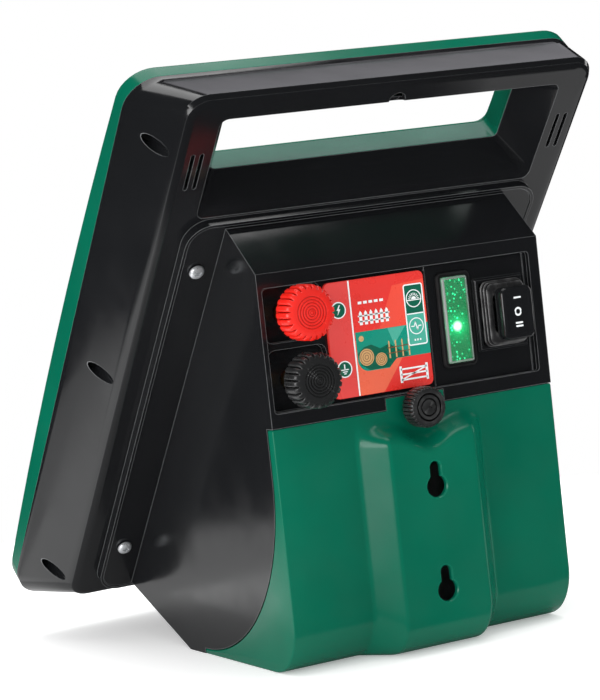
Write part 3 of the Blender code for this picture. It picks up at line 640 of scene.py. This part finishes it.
# ---- Knobs ----
GROOVE_SHARPNESS = 6  # higher is narrower


def lobed_ring(post, y, radius, groove, lobes, sides):
    """Ring round a knob's axis with narrow grooves between rounded ribs."""
    ring = []
    for k in range(sides):
        angle = 2.0 * math.pi * k / sides
        reach = radius - groove * (0.5 - 0.5 * math.cos(lobes * angle)) ** GROOVE_SHARPNESS
        ring.append((post[0] + reach * math.cos(angle), y, post[1] + reach * math.sin(angle)))
    return ring


def knob(name, post, stations, lobes, paint, sides, bore):
    """Turned grip from its back to its front; stations are (y, radius, groove depth)."""
    back = stations[0][0]
    hole = [(back - 14.0, 0.05, 0.0), (back - 14.0, bore, 0.0), (back, bore, 0.0)]
    rings = [lobed_ring(post, y, r, groove, lobes, sides) for y, r, groove in hole + stations]
    return loft(name, rings, paint, smooth=50.0)


def placed(origin, rows):
    """Knob stations from rows of (distance from origin, radius, groove depth)."""
    return [(origin + rise, r, groove) for rise, r, groove in rows]


def plain(origin, rows):
    """Knob stations without grooves."""
    return placed(origin, [(rise, r, 0.0) for rise, r in rows])


def terminal_knobs():
    low, high = node_box("fence_knob")
    back, front = high.y, low.y
    skirt = placed(back, (
        (0.0, 11.9, 0.0), (-0.5, 12.5, 0.0), (-4.4, 12.6, 0.0), (-5.0, 13.2, 0.3), (-5.5, 14.6, 0.9),
        (-6.1, 15.7, 1.4), (-6.9, 16.0, 1.6), (-12.0, 16.0, 1.6), (-16.2, 15.9, 1.6), (-17.2, 15.6, 1.6),
        (-18.0, 15.1, 1.5), (-18.7, 14.4, 1.1), (-19.2, 13.6, 0.5), (-19.5, 12.9, 0.0),
    ))
    rim = plain(front, ((0.25, 12.2), (0.08, 11.6), (0.0, 11.0)))
    face = []
    outer, pitch, steps = 9.84, 1.708, 56
    for k in range(steps):
        r = outer - 5.0 * pitch * k / (steps - 1)
        dip = 0.42 * (0.5 - 0.5 * math.cos(2.0 * math.pi * (outer - r) / pitch)) ** 1.5
        face.append((front + dip, r, 0.0))
    pip = plain(front, ((0.4, 1.1), (0.2, 1.0), (0.05, 0.7), (0.01, 0.3), (0.01, 0.05)))
    stations = skirt + rim + face + pip
    for kind, post, paint, slot_name in (
        ("fence", FENCE_POST, KNOB_RED, "red_knob"),
        ("earth", EARTH_POST, KNOB_BLACK, "black_knob"),
    ):
        grip = knob(f"{kind}_grip_knob", post, stations, 24, paint, 288, 3.5)
        settle(grip, f"{kind}_grip", slot_name, f"{kind}_knob")


def cover_knob():
    low, high = node_box("thumb_knob")
    back, front = high.y, low.y
    stations = placed(back, ((0.0, 9.6, 0.0), (-0.3, 10.8, 0.3), (-0.9, 11.7, 0.7), (-1.8, 12.0, 0.9)))
    stations += placed(front, ((2.6, 12.0, 0.9), (1.5, 11.7, 0.7), (0.7, 11.0, 0.3)))
    stations += plain(front, (
        (0.2, 10.4), (0.0, 9.9), (0.0, 8.5), (0.25, 8.2), (0.9, 8.0), (0.9, 7.4), (0.3, 7.2), (0.1, 6.9),
        (0.1, 5.6), (0.35, 5.3), (1.1, 5.1), (1.1, 4.7), (0.5, 4.5), (0.3, 4.2), (0.3, 0.05),
    ))
    grip = knob("cover_knob", THUMB, stations, 30, KNOB_BLACK, 240, 0.5)
    settle(grip, "cover_screw", "black_knob", "thumb_knob")


terminal_knobs()
cover_knob()


# ---- Screws ----
FLANGE_SCREW_LENGTH = 17.0  # along the slope's normal, head included


def screw_head():
    """Pan head with a cross recess and its washer face; local Z points into the shell."""
    stations = (
        (0.0, 0.3), (0.05, 1.6), (0.2, 2.6), (0.6, 3.6), (1.2, 4.2), (1.9, 4.5), (2.6, 4.6), (2.9, 4.5),
    )
    points = [Vector((x, y, z)) * MM for z, r in stations for x, y in circle(0.0, 0.0, r)]
    head = shown("screw_head", closed_mesh("screw_head", points, ring_faces(48, len(stations))))
    for turn in (20.0, 110.0):
        rows = []
        for z, long, wide in ((-0.5, 2.35, 0.62), (1.7, 1.2, 0.4)):
            rows += [(long, wide, z), (-long, wide, z), (-long, -wide, z), (long, -wide, z)]
        spin = Matrix.Rotation(math.radians(turn), 3, "Z")
        recess = closed_mesh("recess", [spin @ (Vector(p) * MM) for p in rows], ring_faces(4, 2))
        combine(head, shown("recess", recess))
    head.data.materials.clear()
    head.data.materials.append(ZINC)
    head.data.shade_smooth()
    head.data.set_sharp_from_angle(angle=math.radians(35.0))
    mesh = head.data
    bpy.data.objects.remove(head)
    return mesh


def flange_screws():
    mesh = screw_head()
    into = Vector((0.0, COS, SIN))
    for number in range(1, 5):
        node = f"flange_screw_{number}"
        low, high = node_box(node)
        middle = (low + high) * 0.5
        top = middle - into * 0.5 * FLANGE_SCREW_LENGTH
        head = shown(f"flange_screw_head_{number}", mesh)
        turn = into.to_track_quat("Z", "X").to_matrix().to_4x4()
        head.matrix_world = Matrix.Translation(metres(top)) @ turn @ Matrix.Rotation(number * 0.9, 4, "Z")
        settle(head, "main", "zinc_steel", node)


flange_screws()


# ---- Printed label ----
FILM_RED = film("film_red", (0.8, 0.034, 0.026), (0.74, 0.028, 0.022))
FILM_ROSE = film("film_rose", (0.76, 0.062, 0.056), (0.7, 0.05, 0.046))
FILM_ORANGE = film("film_orange", (0.84, 0.14, 0.068), (0.79, 0.11, 0.055))
FILM_LIGHT = film("film_light_red", (0.86, 0.075, 0.042), (0.8, 0.06, 0.036))
FILM_TEAL = film("film_teal", (0.0, 0.29, 0.2), (0.0, 0.25, 0.17))
FILM_MINT = film("film_mint", (0.07, 0.43, 0.32), (0.05, 0.38, 0.28))
FILM_GREEN = film("film_green", (0.0, 0.125, 0.072), (0.0, 0.11, 0.064))
FILM_WHITE = film("film_white", (0.86, 0.9, 0.9), (0.8, 0.85, 0.86))
FILM_TAN = film("film_tan", (0.66, 0.4, 0.17), (0.5, 0.27, 0.1))
FILM_BROWN = film("film_brown", (0.2, 0.075, 0.025), (0.12, 0.045, 0.018))
LABEL_LOW, LABEL_HIGH = node_box("label_plate")
INK_STEP = 0.04  # each printed layer stands this much further out than the last
MARKS = ((-43.9, 204.7), (-43.8, 170.7))  # middles of the two terminal signs


class Ink:
    """Printed shapes of one colour, lying on the label film."""

    def __init__(self, name, paint, layer):
        self.name = name
        self.paint = paint
        self.front = LABEL_LOW.y - INK_STEP * layer
        self.back = LABEL_LOW.y + 0.2
        self.points = []
        self.faces = []

    def shape(self, outline):
        self.faces += moved(ring_faces(len(outline), 2), len(self.points))
        self.points += ring_at(self.front, outline) + ring_at(self.back, outline)

    def ring(self, outer, inner):
        self.faces += moved(loop_faces(len(outer), 4), len(self.points))
        for outline, y in ((outer, self.front), (inner, self.front), (inner, self.back), (outer, self.back)):
            self.points += ring_at(y, outline)

    def bar(self, x0, z0, x1, z1, width):
        """Straight stroke from one point to another."""
        along = Vector((x1 - x0, z1 - z0)).normalized()
        side = Vector((-along.y, along.x)) * width * 0.5
        corners = ((x0 - side.x, z0 - side.y), (x1 - side.x, z1 - side.y))
        self.shape([*corners, (x1 + side.x, z1 + side.y), (x0 + side.x, z0 + side.y)])

    def finish(self):
        settle(add_piece(self.name, self.points, self.faces, self.paint), "main", "red_label")


def printed(name, paint, layer, *outlines):
    """Print made of plain shapes only."""
    ink = Ink(name, paint, layer)
    for outline in outlines:
        ink.shape(outline)
    ink.finish()


def label_film():
    face = LABEL_LOW.y
    edge = ((0.0, LABEL_HIGH.y), (0.0, face + 0.25), (0.08, face + 0.08), (0.25, face))
    rings = frame_rings(LABEL_LOW, LABEL_HIGH, 3.6, edge, 8)
    settle(loft("label_film", rings, FILM_RED), "main", "red_label", "label_plate")


def label_fields():
    """Coloured areas of the print."""
    low, high = LABEL_LOW.z + 0.25, LABEL_HIGH.z - 0.25
    outline = rounded(LABEL_LOW.x + 0.25, LABEL_LOW.x + 30.0, low, high, 3.3)
    rose = [(min(x, -36.0), z) for x, z in outline if x < -40.0] + [(-36.0, low), (-36.0, high)]
    printed("label_rose", FILM_ROSE, 1, rose)
    orange = ((-35.3, 186.0), (-35.3, low), (-19.0, low), (-10.5, 165.0), (-2.0, 176.0), (-8.0, 186.0))
    printed("label_orange", FILM_ORANGE, 1, orange)
    light = ((-7.0, 214.5), (-19.0, 189.0), (14.2, 189.0), (14.2, 216.0))
    printed("label_light", FILM_LIGHT, 1, light)
    right = LABEL_HIGH.x - 0.1
    corner = swept(-27.5, 174.6, 7.0, arc(180.0, 270.0, 10))
    meadow = [(-34.5, 190.6)] + corner + [(-14.0, 167.6), (-9.0, 172.4), (right, 172.4), (right, 190.6)]
    printed("label_meadow", FILM_TEAL, 2, meadow)
    wedge = ((-13.0, 190.4), (-1.0, 190.4), (-9.5, 180.5))
    printed("label_mint", FILM_MINT, 3, wedge, oblong(0.5, 178.6, 12.6, 196.4))
    hills = ((-34.2, 178.0), (-30.0, 181.5), (-25.0, 182.5), (-19.0, 179.5), (-13.0, 181.5), (-6.0, 177.0),
             (-1.0, 175.0), (-1.0, 172.6), (-8.5, 172.6), (-13.8, 168.0), (-27.0, 168.0), (-32.5, 171.5))
    signs = [circle(x, z, 4.5) for x, z in MARKS]
    printed("label_green", FILM_GREEN, 3, oblong(0.5, 196.6, 12.6, 213.4), *signs, hills)


def pale(x, low, high, wide, tip):
    """Upright board with a pointed top."""
    return ((x, low), (x + wide, low), (x + wide, high), (x + 0.5 * wide, high + tip), (x, high))


def label_picture():
    """Hay bales by a paddock fence."""
    tan = Ink("label_tan", FILM_TAN, 4)
    bales = ((-28.6, 175.6, 4.9), (-19.0, 173.2, 3.8))
    for x, z, r in bales:
        tan.shape(circle(x, z, r, 28))
    for k in range(4):
        tan.shape(pale(-13.5 + 4.4 * k, 173.0, 182.5, 0.9, 0.8))
    tan.shape(circle(-31.0, 186.6, 1.7, 24))
    tan.finish()
    brown = Ink("label_brown", FILM_BROWN, 5)
    for x, z, r in bales:
        for share in (0.86, 0.56, 0.28):
            brown.ring(circle(x, z, r * share, 24), circle(x, z, r * share - 0.32, 24))
    for z in (175.8, 179.0):
        brown.bar(-14.4, z, 0.3, z + 0.3, 0.45)
    brown.finish()


def bolt_outline(x, z, size):
    corners = (
        (0.2, 1.0), (-0.45, -0.05), (-0.05, -0.05), (-0.3, -1.0), (0.45, 0.2), (0.05, 0.2), (0.45, 1.0),
    )
    return [(x + size * px, z + size * pz) for px, pz in corners]


def label_white():
    """White strokes: rim lines, terminal marks and plain pictograms."""
    low, high = LABEL_LOW.z + 0.25, LABEL_HIGH.z - 0.25
    white = Ink("label_white", FILM_WHITE, 6)
    white.bar(-35.8, low, -35.8, high, 0.9)
    for x, z in MARKS:
        white.ring(circle(x, z, 4.85), circle(x, z, 4.2))
    x, z = MARKS[0]
    white.shape(bolt_outline(x, z, 2.9))
    x, z = MARKS[1]
    white.bar(x, z - 0.3, x, z + 2.9, 0.75)
    for drop, half in ((0.3, 2.5), (1.5, 1.6), (2.6, 0.8)):
        white.bar(x - half, z - drop, x + half, z - drop, 0.6)
    white.ring(rounded(0.0, 13.1, 178.1, 213.9, 1.6), rounded(0.75, 12.35, 178.85, 213.15, 0.9))
    white.bar(0.4, 196.5, 12.7, 196.5, 0.7)
    middle = 6.55  # x of the two right-hand signs
    # Sun on the horizon.
    white.ring(circle(middle, 205.3, 5.2), circle(middle, 205.3, 4.65))
    white.bar(2.0, 204.4, 11.1, 204.4, 0.55)
    white.shape(swept(middle, 204.9, 1.6, arc(0.0, 180.0, 14)))
    for angle in arc(8.0, 172.0, 8):
        dx, dz = math.cos(angle), math.sin(angle)
        white.bar(middle + 2.2 * dx, 204.9 + 2.2 * dz, middle + 3.7 * dx, 204.9 + 3.7 * dz, 0.42)
    # One pulse.
    white.ring(circle(middle, 189.2, 4.9), circle(middle, 189.2, 4.35))
    pulse = ((-3.4, 0.0), (-1.3, 0.0), (-0.5, 2.6), (0.6, -2.4), (1.3, 0.0), (3.4, 0.0))
    for (ax, az), (bx, bz) in zip(pulse, pulse[1:]):
        white.bar(middle + ax, 189.2 + az, middle + bx, 189.2 + bz, 0.6)
    for k in range(3):
        white.bar(4.4 + 1.8 * k, 181.2, 5.3 + 1.8 * k, 181.2, 1.1)
    # Paling and its dashes.
    for k in range(6):
        white.shape(pale(-30.8 + 3.5 * k, 194.4, 201.2, 1.9, 1.4))
    for z in (196.4, 199.6):
        white.bar(-31.6, z, -10.6, z, 0.7)
    for k in range(5):
        white.bar(-30.8 + 3.6 * k, 207.2, -28.4 + 3.6 * k, 207.2, 1.5)
    # Field gate.
    for x in (-7.0, 10.6):
        white.bar(x, 157.6, x, 167.2, 1.5)
    for z in (159.2, 162.3, 165.4):
        white.bar(-7.0, z, 10.6, z, 0.95)
    white.bar(-6.6, 159.4, 10.2, 165.2, 0.8)
    white.finish()


label_film()
label_fields()
label_picture()
label_white()


# ---- Indicator window ----
def glimmer(low, high, spot):
    """Moulded light guide behind the lens, with a facetted face. Its glow is painted light in its
    emission: a halo round the diode, a whitish core and glints in clusters of specks.
    """
    paint = Paint("light_guide", 0.18)
    specks = paint.cells(430.0)["Distance"]
    # Painted glints: bright emission in small specks, gathered in noise clusters.
    clusters = paint.spread(paint.noise(170.0, 3.0), 0.0, 1.0, 0.38, 0.54)
    glints = paint.maths("MULTIPLY", paint.spread(specks, 1.0, 0.0, 0.1, 0.36), clusters)
    paint.colour(paint.blend(paint.noise(300.0, 4.0), (0.0, 0.05, 0.02), (0.0, 0.14, 0.055)))
    # Painted glow of the diode: emission that fades with distance from it, whitish at its core.
    ends = {0: paint.place, 1: metres(spot)}
    reach = paint.node("ShaderNodeVectorMath", ends, operation="DISTANCE")["Value"]
    halo = paint.maths("POWER", paint.spread(reach, 1.0, 0.0, 0.0, 0.013), 2.4)
    core = paint.spread(reach, 1.0, 0.0, 0.0008, 0.0036)
    tint = paint.blend(glints, (0.0, 0.36, 0.1), (0.04, 0.9, 0.4))
    paint.put("Emission Color", paint.blend(core, tint, (0.75, 1.0, 0.9)))
    power = paint.maths("MULTIPLY_ADD", glints, 2.0, paint.spread(halo, 0.5, 3.4, 0.0, 1.0))
    paint.put("Emission Strength", power)
    paint.bumps((specks, 5.0e-5))
    paint.put("Specular IOR Level", 0.1)
    across, up = 34, 100
    points = []
    for j in range(up + 1):
        for i in range(across + 1):
            x = low.x + (high.x - low.x) * i / across
            z = low.z + (high.z - low.z) * j / up
            points.append((x, low.y + 0.25 * noise.noise(Vector((x, 0.0, z)) * 1.7), z))
    faces = []
    for j in range(up):
        for i in range(across):
            a = j * (across + 1) + i
            faces.append((a, a + 1, a + across + 2, a + across + 1))
    edge = list(range(across + 1)) + [(j + 1) * (across + 1) - 1 for j in range(1, up + 1)]
    edge += [up * (across + 1) + i for i in range(across - 1, -1, -1)]
    edge += [j * (across + 1) for j in range(up - 1, 0, -1)]
    start = len(points)
    points += [(points[i][0], high.y, points[i][2]) for i in edge]
    for k, a in enumerate(edge):
        m = (k + 1) % len(edge)
        faces.append((a, edge[m], start + m, start + k))
    faces.append(tuple(start + k for k in range(len(edge))))
    guide = add_piece("light_guide", points, faces, paint.material, smooth=8.0)
    settle(guide, "main", "diode")


def window():
    low, high = node_box("window_bezel")
    back, front = high.y, low.y
    lens_low, lens_high = node_box("window_lens")
    wide = lens_low.x - low.x
    outside = ((0.0, 0.9), (0.25, 0.4), (0.8, 0.1), (1.25, 0.2), (1.5, 0.75), (1.8, 0.75), (2.0, 0.15))
    inside = ((wide - 0.6, 0.0), (wide - 0.25, 0.25), (wide - 0.1, 0.8))
    stations = [(0.0, back)] + [(inset, front + rise) for inset, rise in outside + inside]
    stations.append((wide - 0.1, back))
    bezel = band("window_rim", frame_rings(low, high, 3.4, stations), RUBBER)
    settle(bezel, "main", "rubber", "window_bezel")
    root = lens_high.y - 2.0
    edge = (
        (0.0, root), (0.0, 0.3), (0.25, -0.1), (0.9, -0.95), (1.25, lens_low.y + 0.02),
        (1.35, lens_low.y + 0.3), (1.45, 0.4), (1.45, root),
    )
    # The lens's bevelled edge gets a paler, half-clear colour: a painted highlight for the light the clear
    # bevel catches.
    painted_glint = clear("painted_glint_edge", (0.5, 0.53, 0.52), 0.16, 1.45, 0.6)
    settle(band("lens_edge", frame_rings(lens_low, lens_high, 1.3, edge), painted_glint), "main", "clear_lens")
    pane = ((1.5, 0.9), (1.5, -0.25), (1.7, -0.45), (2.4, -0.5))
    glass = loft("lens_pane", frame_rings(lens_low, lens_high, 1.3, pane), LENS)
    settle(glass, "main", "clear_lens", "window_lens")
    led_low, led_high = node_box("status_led")
    middle = (led_low + led_high) * 0.5
    guide_low = Vector((lens_low.x + 1.2, 1.5, lens_low.z + 1.2))
    guide_high = Vector((lens_high.x - 1.2, 4.6, lens_high.z - 1.2))
    glimmer(guide_low, guide_high, (middle.x, guide_low.y, middle.z))


window()


# ---- Switch ----
CAP_FACE = node_box("rocker_cap")[0].y
CAP_DISH = 1.1
CAP_HALF_X = 10.9
CAP_HALF_Z = 15.4


def cap_face(z):
    """y of the cap's hollow face at a height."""
    return CAP_FACE + 0.05 + CAP_DISH * max(0.0, 1.0 - ((z - ROCKER[1]) / 13.4) ** 2)


def rocker_cap():
    x, z = ROCKER
    rings = []
    side = (
        (1.3, 8.8), (0.35, 8.3), (0.0, 7.3), (0.0, 2.6), (0.25, 1.4), (0.85, 0.55), (1.7, 0.12), (2.3, 0.0),
    )
    for inset, back in side:
        outline = centred(x, z, CAP_HALF_X - inset, CAP_HALF_Z - inset, 4.0 - inset)
        rings.append(ring_at(CAP_FACE + back, outline))
    inner = side[-1][0]
    for k in range(1, 12):
        shrink = 1.0 - k / 11.2
        share = min(1.0, 0.5 * k)
        outline = centred(x, z, (CAP_HALF_X - inner) * shrink, (CAP_HALF_Z - inner) * shrink, 1.7 * shrink)
        rings.append([(px, CAP_FACE + (cap_face(pz) - CAP_FACE) * share, pz) for px, pz in outline])
    cap = loft("switch_cap", rings, BLACK, smooth=50.0)
    foot = rounded(x - 7.4, x + 7.4, z - 7.4, z + 7.4, 1.0, 3)
    combine(cap, loft("stem", [ring_at(y, foot) for y in (-11.0, 4.9)], BLACK), "UNION")
    cap.data.set_sharp_from_angle(angle=math.radians(50.0))
    settle(cap, "rocker", "black_knob", "rocker_cap")


def switch_marks():
    """White I, O and II, which follow the cap's hollow face."""
    x, z = ROCKER
    points = []
    faces = []
    for offset in (8.9, -6.0, -7.9):
        outline = [(px, z + offset + pz) for px, pz in oblong(-2.45, -0.5, 2.45, 0.5)]
        faces += moved(ring_faces(4, 2), len(points))
        for proud in (0.05, -0.3):
            points += [(x + px, cap_face(pz) - proud, pz) for px, pz in outline]
    sides = 40
    faces += moved(loop_faces(sides, 4), len(points))
    for radius, proud in ((2.6, 0.05), (1.5, 0.05), (1.5, -0.3), (2.6, -0.3)):
        for px, pz in circle(0.0, z + 0.6, radius, sides):
            points.append((x + 0.96 * px, cap_face(pz) - proud, pz))
    settle(add_piece("switch_marks", points, faces, FILM_WHITE), "rocker", "black_knob")


def rocker_boot():
    """Ribbed rubber collar round the cap, from the tray outwards, and the frame that holds it."""
    x, z = ROCKER
    stations = (
        (13.2, 18.0, 2.9), (13.2, 18.0, 0.5), (13.5, 18.3, 0.0), (14.3, 19.1, -0.35), (14.6, 19.4, -0.9),
        (14.2, 19.0, -1.45), (13.1, 17.9, -1.8), (12.9, 17.7, -2.1), (13.4, 18.2, -2.6), (13.9, 18.7, -3.15),
        (13.5, 18.3, -3.7), (12.6, 17.4, -4.05), (12.4, 17.2, -4.35), (12.8, 17.6, -4.8), (13.1, 17.9, -5.3),
        (12.8, 17.5, -5.8), (11.9, 16.6, -6.1), (10.4, 14.6, -6.1), (9.0, 11.3, -5.2), (8.9, 11.1, 2.9),
    )
    rings = []
    for half_x, half_z, y in stations:
        rings.append(ring_at(y, centred(x, z, half_x, half_z, 3.9 - (13.2 - half_x) * 0.5)))
    settle(band("switch_boot", rings, BOOT_RUBBER, smooth=60.0), "main", "rubber", "rocker_boot")
    low = Vector((x - 17.3, 0.0, z - 21.6))
    high = Vector((x + 17.3, 0.0, z + 21.6))
    stations = (
        (0.0, 3.05), (0.0, 2.7), (1.2, 1.1), (1.6, 0.95), (2.8, 0.95), (3.1, 1.15), (3.9, 2.6), (4.0, 3.05),
    )
    surround = band("switch_surround", frame_rings(low, high, 0.9, stations), BLACK)
    settle(surround, "main", "black_moulding")


rocker_cap()
switch_marks()
rocker_boot()


def tray_ribs():
    """Thin moulded steps at the right end of the tray."""
    tray_low, tray_high = 152.3, 222.3
    points = []
    faces = []
    for x, wide, front in ((84.9, 0.5, 2.2), (16.7, 0.45, 2.5)):
        section = ((x - wide, 3.1), (x - wide, front + 0.2), (x - wide + 0.2, front), (x + wide - 0.2, front),
                   (x + wide, front + 0.2), (x + wide, 3.1))
        faces += moved(ring_faces(len(section), 2), len(points))
        for z in (tray_low, tray_high):
            points += [(px, y, z) for px, y in section]
    settle(add_piece("tray_ribs", points, faces, BLACK), "main", "black_moulding")


tray_ribs()


# ---- Solar panel ----
def cell_plates():
    """Cells in rows and columns under the glass, with their busbars."""
    columns, rows = 4, 9
    half_x, low_s, high_s = 124.6, -315.6, -7.4
    gap, chop = 1.3, 3.0
    base, top = 54.82, 54.94  # heights above the flange plane
    strip = oblong(-0.7, low_s, 0.7, high_s)
    points = []
    faces = []
    bars = []
    bar_faces = []
    step_x = 2.0 * half_x / columns
    step_s = (high_s - low_s) / rows
    for i in range(columns):
        for j in range(rows):
            x0 = -half_x + step_x * i + 0.5 * gap
            x1 = x0 + step_x - gap
            s0 = low_s + step_s * j + 0.5 * gap
            s1 = s0 + step_s - gap
            outline = ((x0 + chop, s0), (x1 - chop, s0), (x1, s0 + chop), (x1, s1 - chop), (x1 - chop, s1),
                       (x0 + chop, s1), (x0, s1 - chop), (x0, s0 + chop))
            faces += moved(ring_faces(8, 2), len(points))
            for n in (base, top):
                points += [slope(x, s, n) for x, s in outline]
        for share in (0.27, 0.73):
            x = -half_x + step_x * (i + share)
            bar_faces += moved(ring_faces(4, 2), len(bars))
            for n in (top - 0.05, top + 0.06):
                bars += [slope(x + dx, s, n) for dx, s in strip]
    settle(add_piece("cell_plates", points, faces, cell_film()), "main", "cell_film")
    settle(add_piece("cell_busbars", bars, bar_faces, ALU), "main", "bare_aluminium")


cell_plates()


# ---- Finish of the remaining pieces ----
def finish_nodes():
    backing = plastic("panel_backing", (0.008, 0.01, 0.018), 0.5, 0.06)
    sleeve_red = plastic("red_sleeve", (0.6, 0.02, 0.015), 0.42, 0.06, 8.0e-6, 900.0)
    sleeve_black = plastic("black_sleeve", (0.014, 0.014, 0.015), 0.42, 0.06, 8.0e-6, 900.0)
    case = plastic("battery_case", (0.11, 0.115, 0.12), 0.5, 0.06, 1.2e-5, 1100.0, (0.2, 0.2, 0.2))
    can = plastic("capacitor_sleeve", (0.03, 0.07, 0.2), 0.28, 0.05)
    looks = (
        (GLASS, ("solar_glass",)),
        (backing, ("solar_cells",)),
        (RUBBER, ("panel_seal", "lead_grommet", "flange_gasket", "thumb_washer")),
        (SATIN, ("junction_box", "switch_body")),
        (sleeve_black, ("solar_lead", "battery_lead_black")),
        (sleeve_red, ("battery_lead_red",)),
        (board_paint("main_board"), ("circuit_board",)),
        (board_paint("window_board"), ("led_board",)),
        (glowing("lit_diode", (0.5, 1.0, 0.8), 6.0), ("status_led",)),
        (COPPER, ("pulse_transformer",)),
        (can, ("storage_capacitor",)),
        (ALU, ("charge_regulator",)),
        (case, ("battery",)),
        (foamed("bay_foam", (0.07, 0.07, 0.075)), ("battery_foam",)),
        (woven("strap_webbing", (0.02, 0.02, 0.022)), ("battery_strap",)),
        (BRASS, ("cover_insert", "battery_tab_plus", "battery_tab_minus", "fence_stud", "earth_stud")),
        (ZINC, ("thumb_shank", "fence_washer", "fence_nut", "earth_washer", "earth_nut")),
        (ZINC, [f"shell_screw_{number}" for number in range(1, 7)]),
    )
    for paint, nodes in looks:
        for node in nodes:
            for place in frame["nodes"][node].material_slots:
                place.material = paint


finish_nodes()


# ---- Camera ----
CAMERA_AZIMUTH = math.radians(-28.25)
CAMERA_HEIGHT = math.radians(4.874)
CAMERA_ROLL = math.radians(-6.26)
CAMERA_REACH = 1.6436  # m
CAMERA_TARGET = Vector((-0.0015, 0.0005, 0.1731))
CAMERA_LENS = 135.7  # mm


def camera():
    """Camera that looks at the target from the given azimuth and height."""
    flat = math.cos(CAMERA_HEIGHT)
    side = math.sin(CAMERA_AZIMUTH) * flat
    back = Vector((side, -math.cos(CAMERA_AZIMUTH) * flat, math.sin(CAMERA_HEIGHT)))
    data = bpy.data.cameras.new("camera")
    data.lens = CAMERA_LENS
    data.sensor_width = 36.0
    data.clip_end = 50.0
    made = shown("camera", data)
    turn = back.to_track_quat("Z", "Y").to_matrix() @ Matrix.Rotation(CAMERA_ROLL, 3, "Z")
    made.matrix_world = Matrix.Translation(CAMERA_TARGET + back * CAMERA_REACH) @ turn.to_4x4()
    bpy.context.scene.camera = made


# ---- Studio ----
FLOOR_RADIUS = 0.56
DOME_RADIUS = 2.6
DISC_SIDES = 96
LIGHTS = (  # name, place, width, height, watts and tint
    ("left", (-1.55, -0.62, 0.2), 0.8, 1.0, 15.0, (1.0, 1.0, 1.0)),
    ("top", (0.0, 0.1, 1.55), 1.3, 1.3, 14.0, (1.0, 1.0, 1.0)),
    ("back", (0.85, 1.25, 1.2), 0.9, 0.7, 1.1, (0.95, 0.93, 1.0)),
    ("right", (1.7, 0.1, 0.5), 0.4, 1.2, 4.0, (1.0, 1.0, 1.0)),
)
LIGHTS_AIM = Vector((0.0, 0.0, 0.15))


def disc(radius, z):
    return [(x, y, z) for x, y in circle(0.0, 0.0, radius, DISC_SIDES)]


def stage_piece(name, points, faces, paint):
    mesh = bpy.data.meshes.new(name)
    mesh.from_pydata(points, [], faces)
    mesh.materials.append(paint)
    made = shown(name, mesh)
    return made


def only_reflected(thing):
    thing.visible_camera = False
    thing.visible_diffuse = False
    thing.visible_shadow = False
    thing.visible_transmission = False


def cloth(name, dark, light, scale=4.0, roughness=1.0):
    """Matt grey between two levels."""
    paint = Paint(name, roughness)
    paint.colour(paint.blend(paint.noise(scale, 3.0), (dark, dark, dark), (light, light, light)))
    paint.put("Specular IOR Level", 0.0)
    return paint


def floor():
    """Round pale table top, which reflections don't see."""
    paint = cloth("pale_floor", 0.9, 0.92, 3.0, 0.8)
    paint.put("Emission Color", (1.0, 1.0, 1.0, 1.0))
    paint.put("Emission Strength", 0.3)
    top = stage_piece("floor", disc(FLOOR_RADIUS, 0.0), [tuple(range(DISC_SIDES))], paint.material)
    top.visible_glossy = False


def reflections():
    """What only reflections see: a black dome and ground, and on the table a grey mat with a
    black cloth in front of the unit and a pale card at its left."""
    black = cloth("black_cloth", 0.004, 0.009).material
    sides = 32
    points = []
    for height in (-8.0, 0.0, 20.0, 40.0, 60.0, 78.0):
        up = math.radians(height)
        reach = DOME_RADIUS * math.cos(up)
        points += [(x, y, DOME_RADIUS * math.sin(up)) for x, y in circle(0.0, 0.0, reach, sides)]
    only_reflected(stage_piece("dome", points, ring_faces(sides, 6), black))
    ground = disc(FLOOR_RADIUS, -0.002) + disc(DOME_RADIUS, -0.002)
    only_reflected(stage_piece("ground", ground, loop_faces(DISC_SIDES, 2)[:DISC_SIDES], black))
    mat = cloth("grey_mat", 0.48, 0.52).material
    only_reflected(stage_piece("mat", disc(FLOOR_RADIUS, 0.0005), [tuple(range(DISC_SIDES))], mat))
    pale = cloth("pale_card", 0.88, 0.9).material
    front = ((-0.35, -0.155), (0.26, -0.155), (0.26, -0.3), (0.8, -0.3), (0.8, -1.2), (-0.35, -1.2))
    left = oblong(-0.5, -0.22, -0.17, 0.2)
    for name, outline, z, paint in (("front_cloth", front, 0.001, black), ("left_card", left, 0.0008, pale)):
        points = [(x, y, z) for x, y in outline]
        only_reflected(stage_piece(name, points, [tuple(range(len(points)))], paint))


def softbox(name, place, width, height, power, tint):
    data = bpy.data.lights.new(name, "AREA")
    data.shape = "RECTANGLE"
    data.size = width
    data.size_y = height
    data.energy = power
    data.color = tint
    made = shown(name, data)
    made.location = place
    made.rotation_euler = (Vector(place) - LIGHTS_AIM).to_track_quat("Z", "Y").to_euler()
    made.visible_camera = False


def sky():
    """Plain white all round."""
    world = bpy.data.worlds.new("studio")
    world.use_nodes = True
    shade = world.node_tree.nodes["Background"]
    shade.inputs["Color"].default_value = (1.0, 1.0, 1.0, 1.0)
    shade.inputs["Strength"].default_value = 1.0
    world.cycles.sampling_method = "NONE"
    bpy.context.scene.world = world


def studio():
    floor()
    reflections()
    sky()
    for light in LIGHTS:
        softbox(*light)
    bpy.context.scene.view_settings.view_transform = "Standard"


camera()
studio()
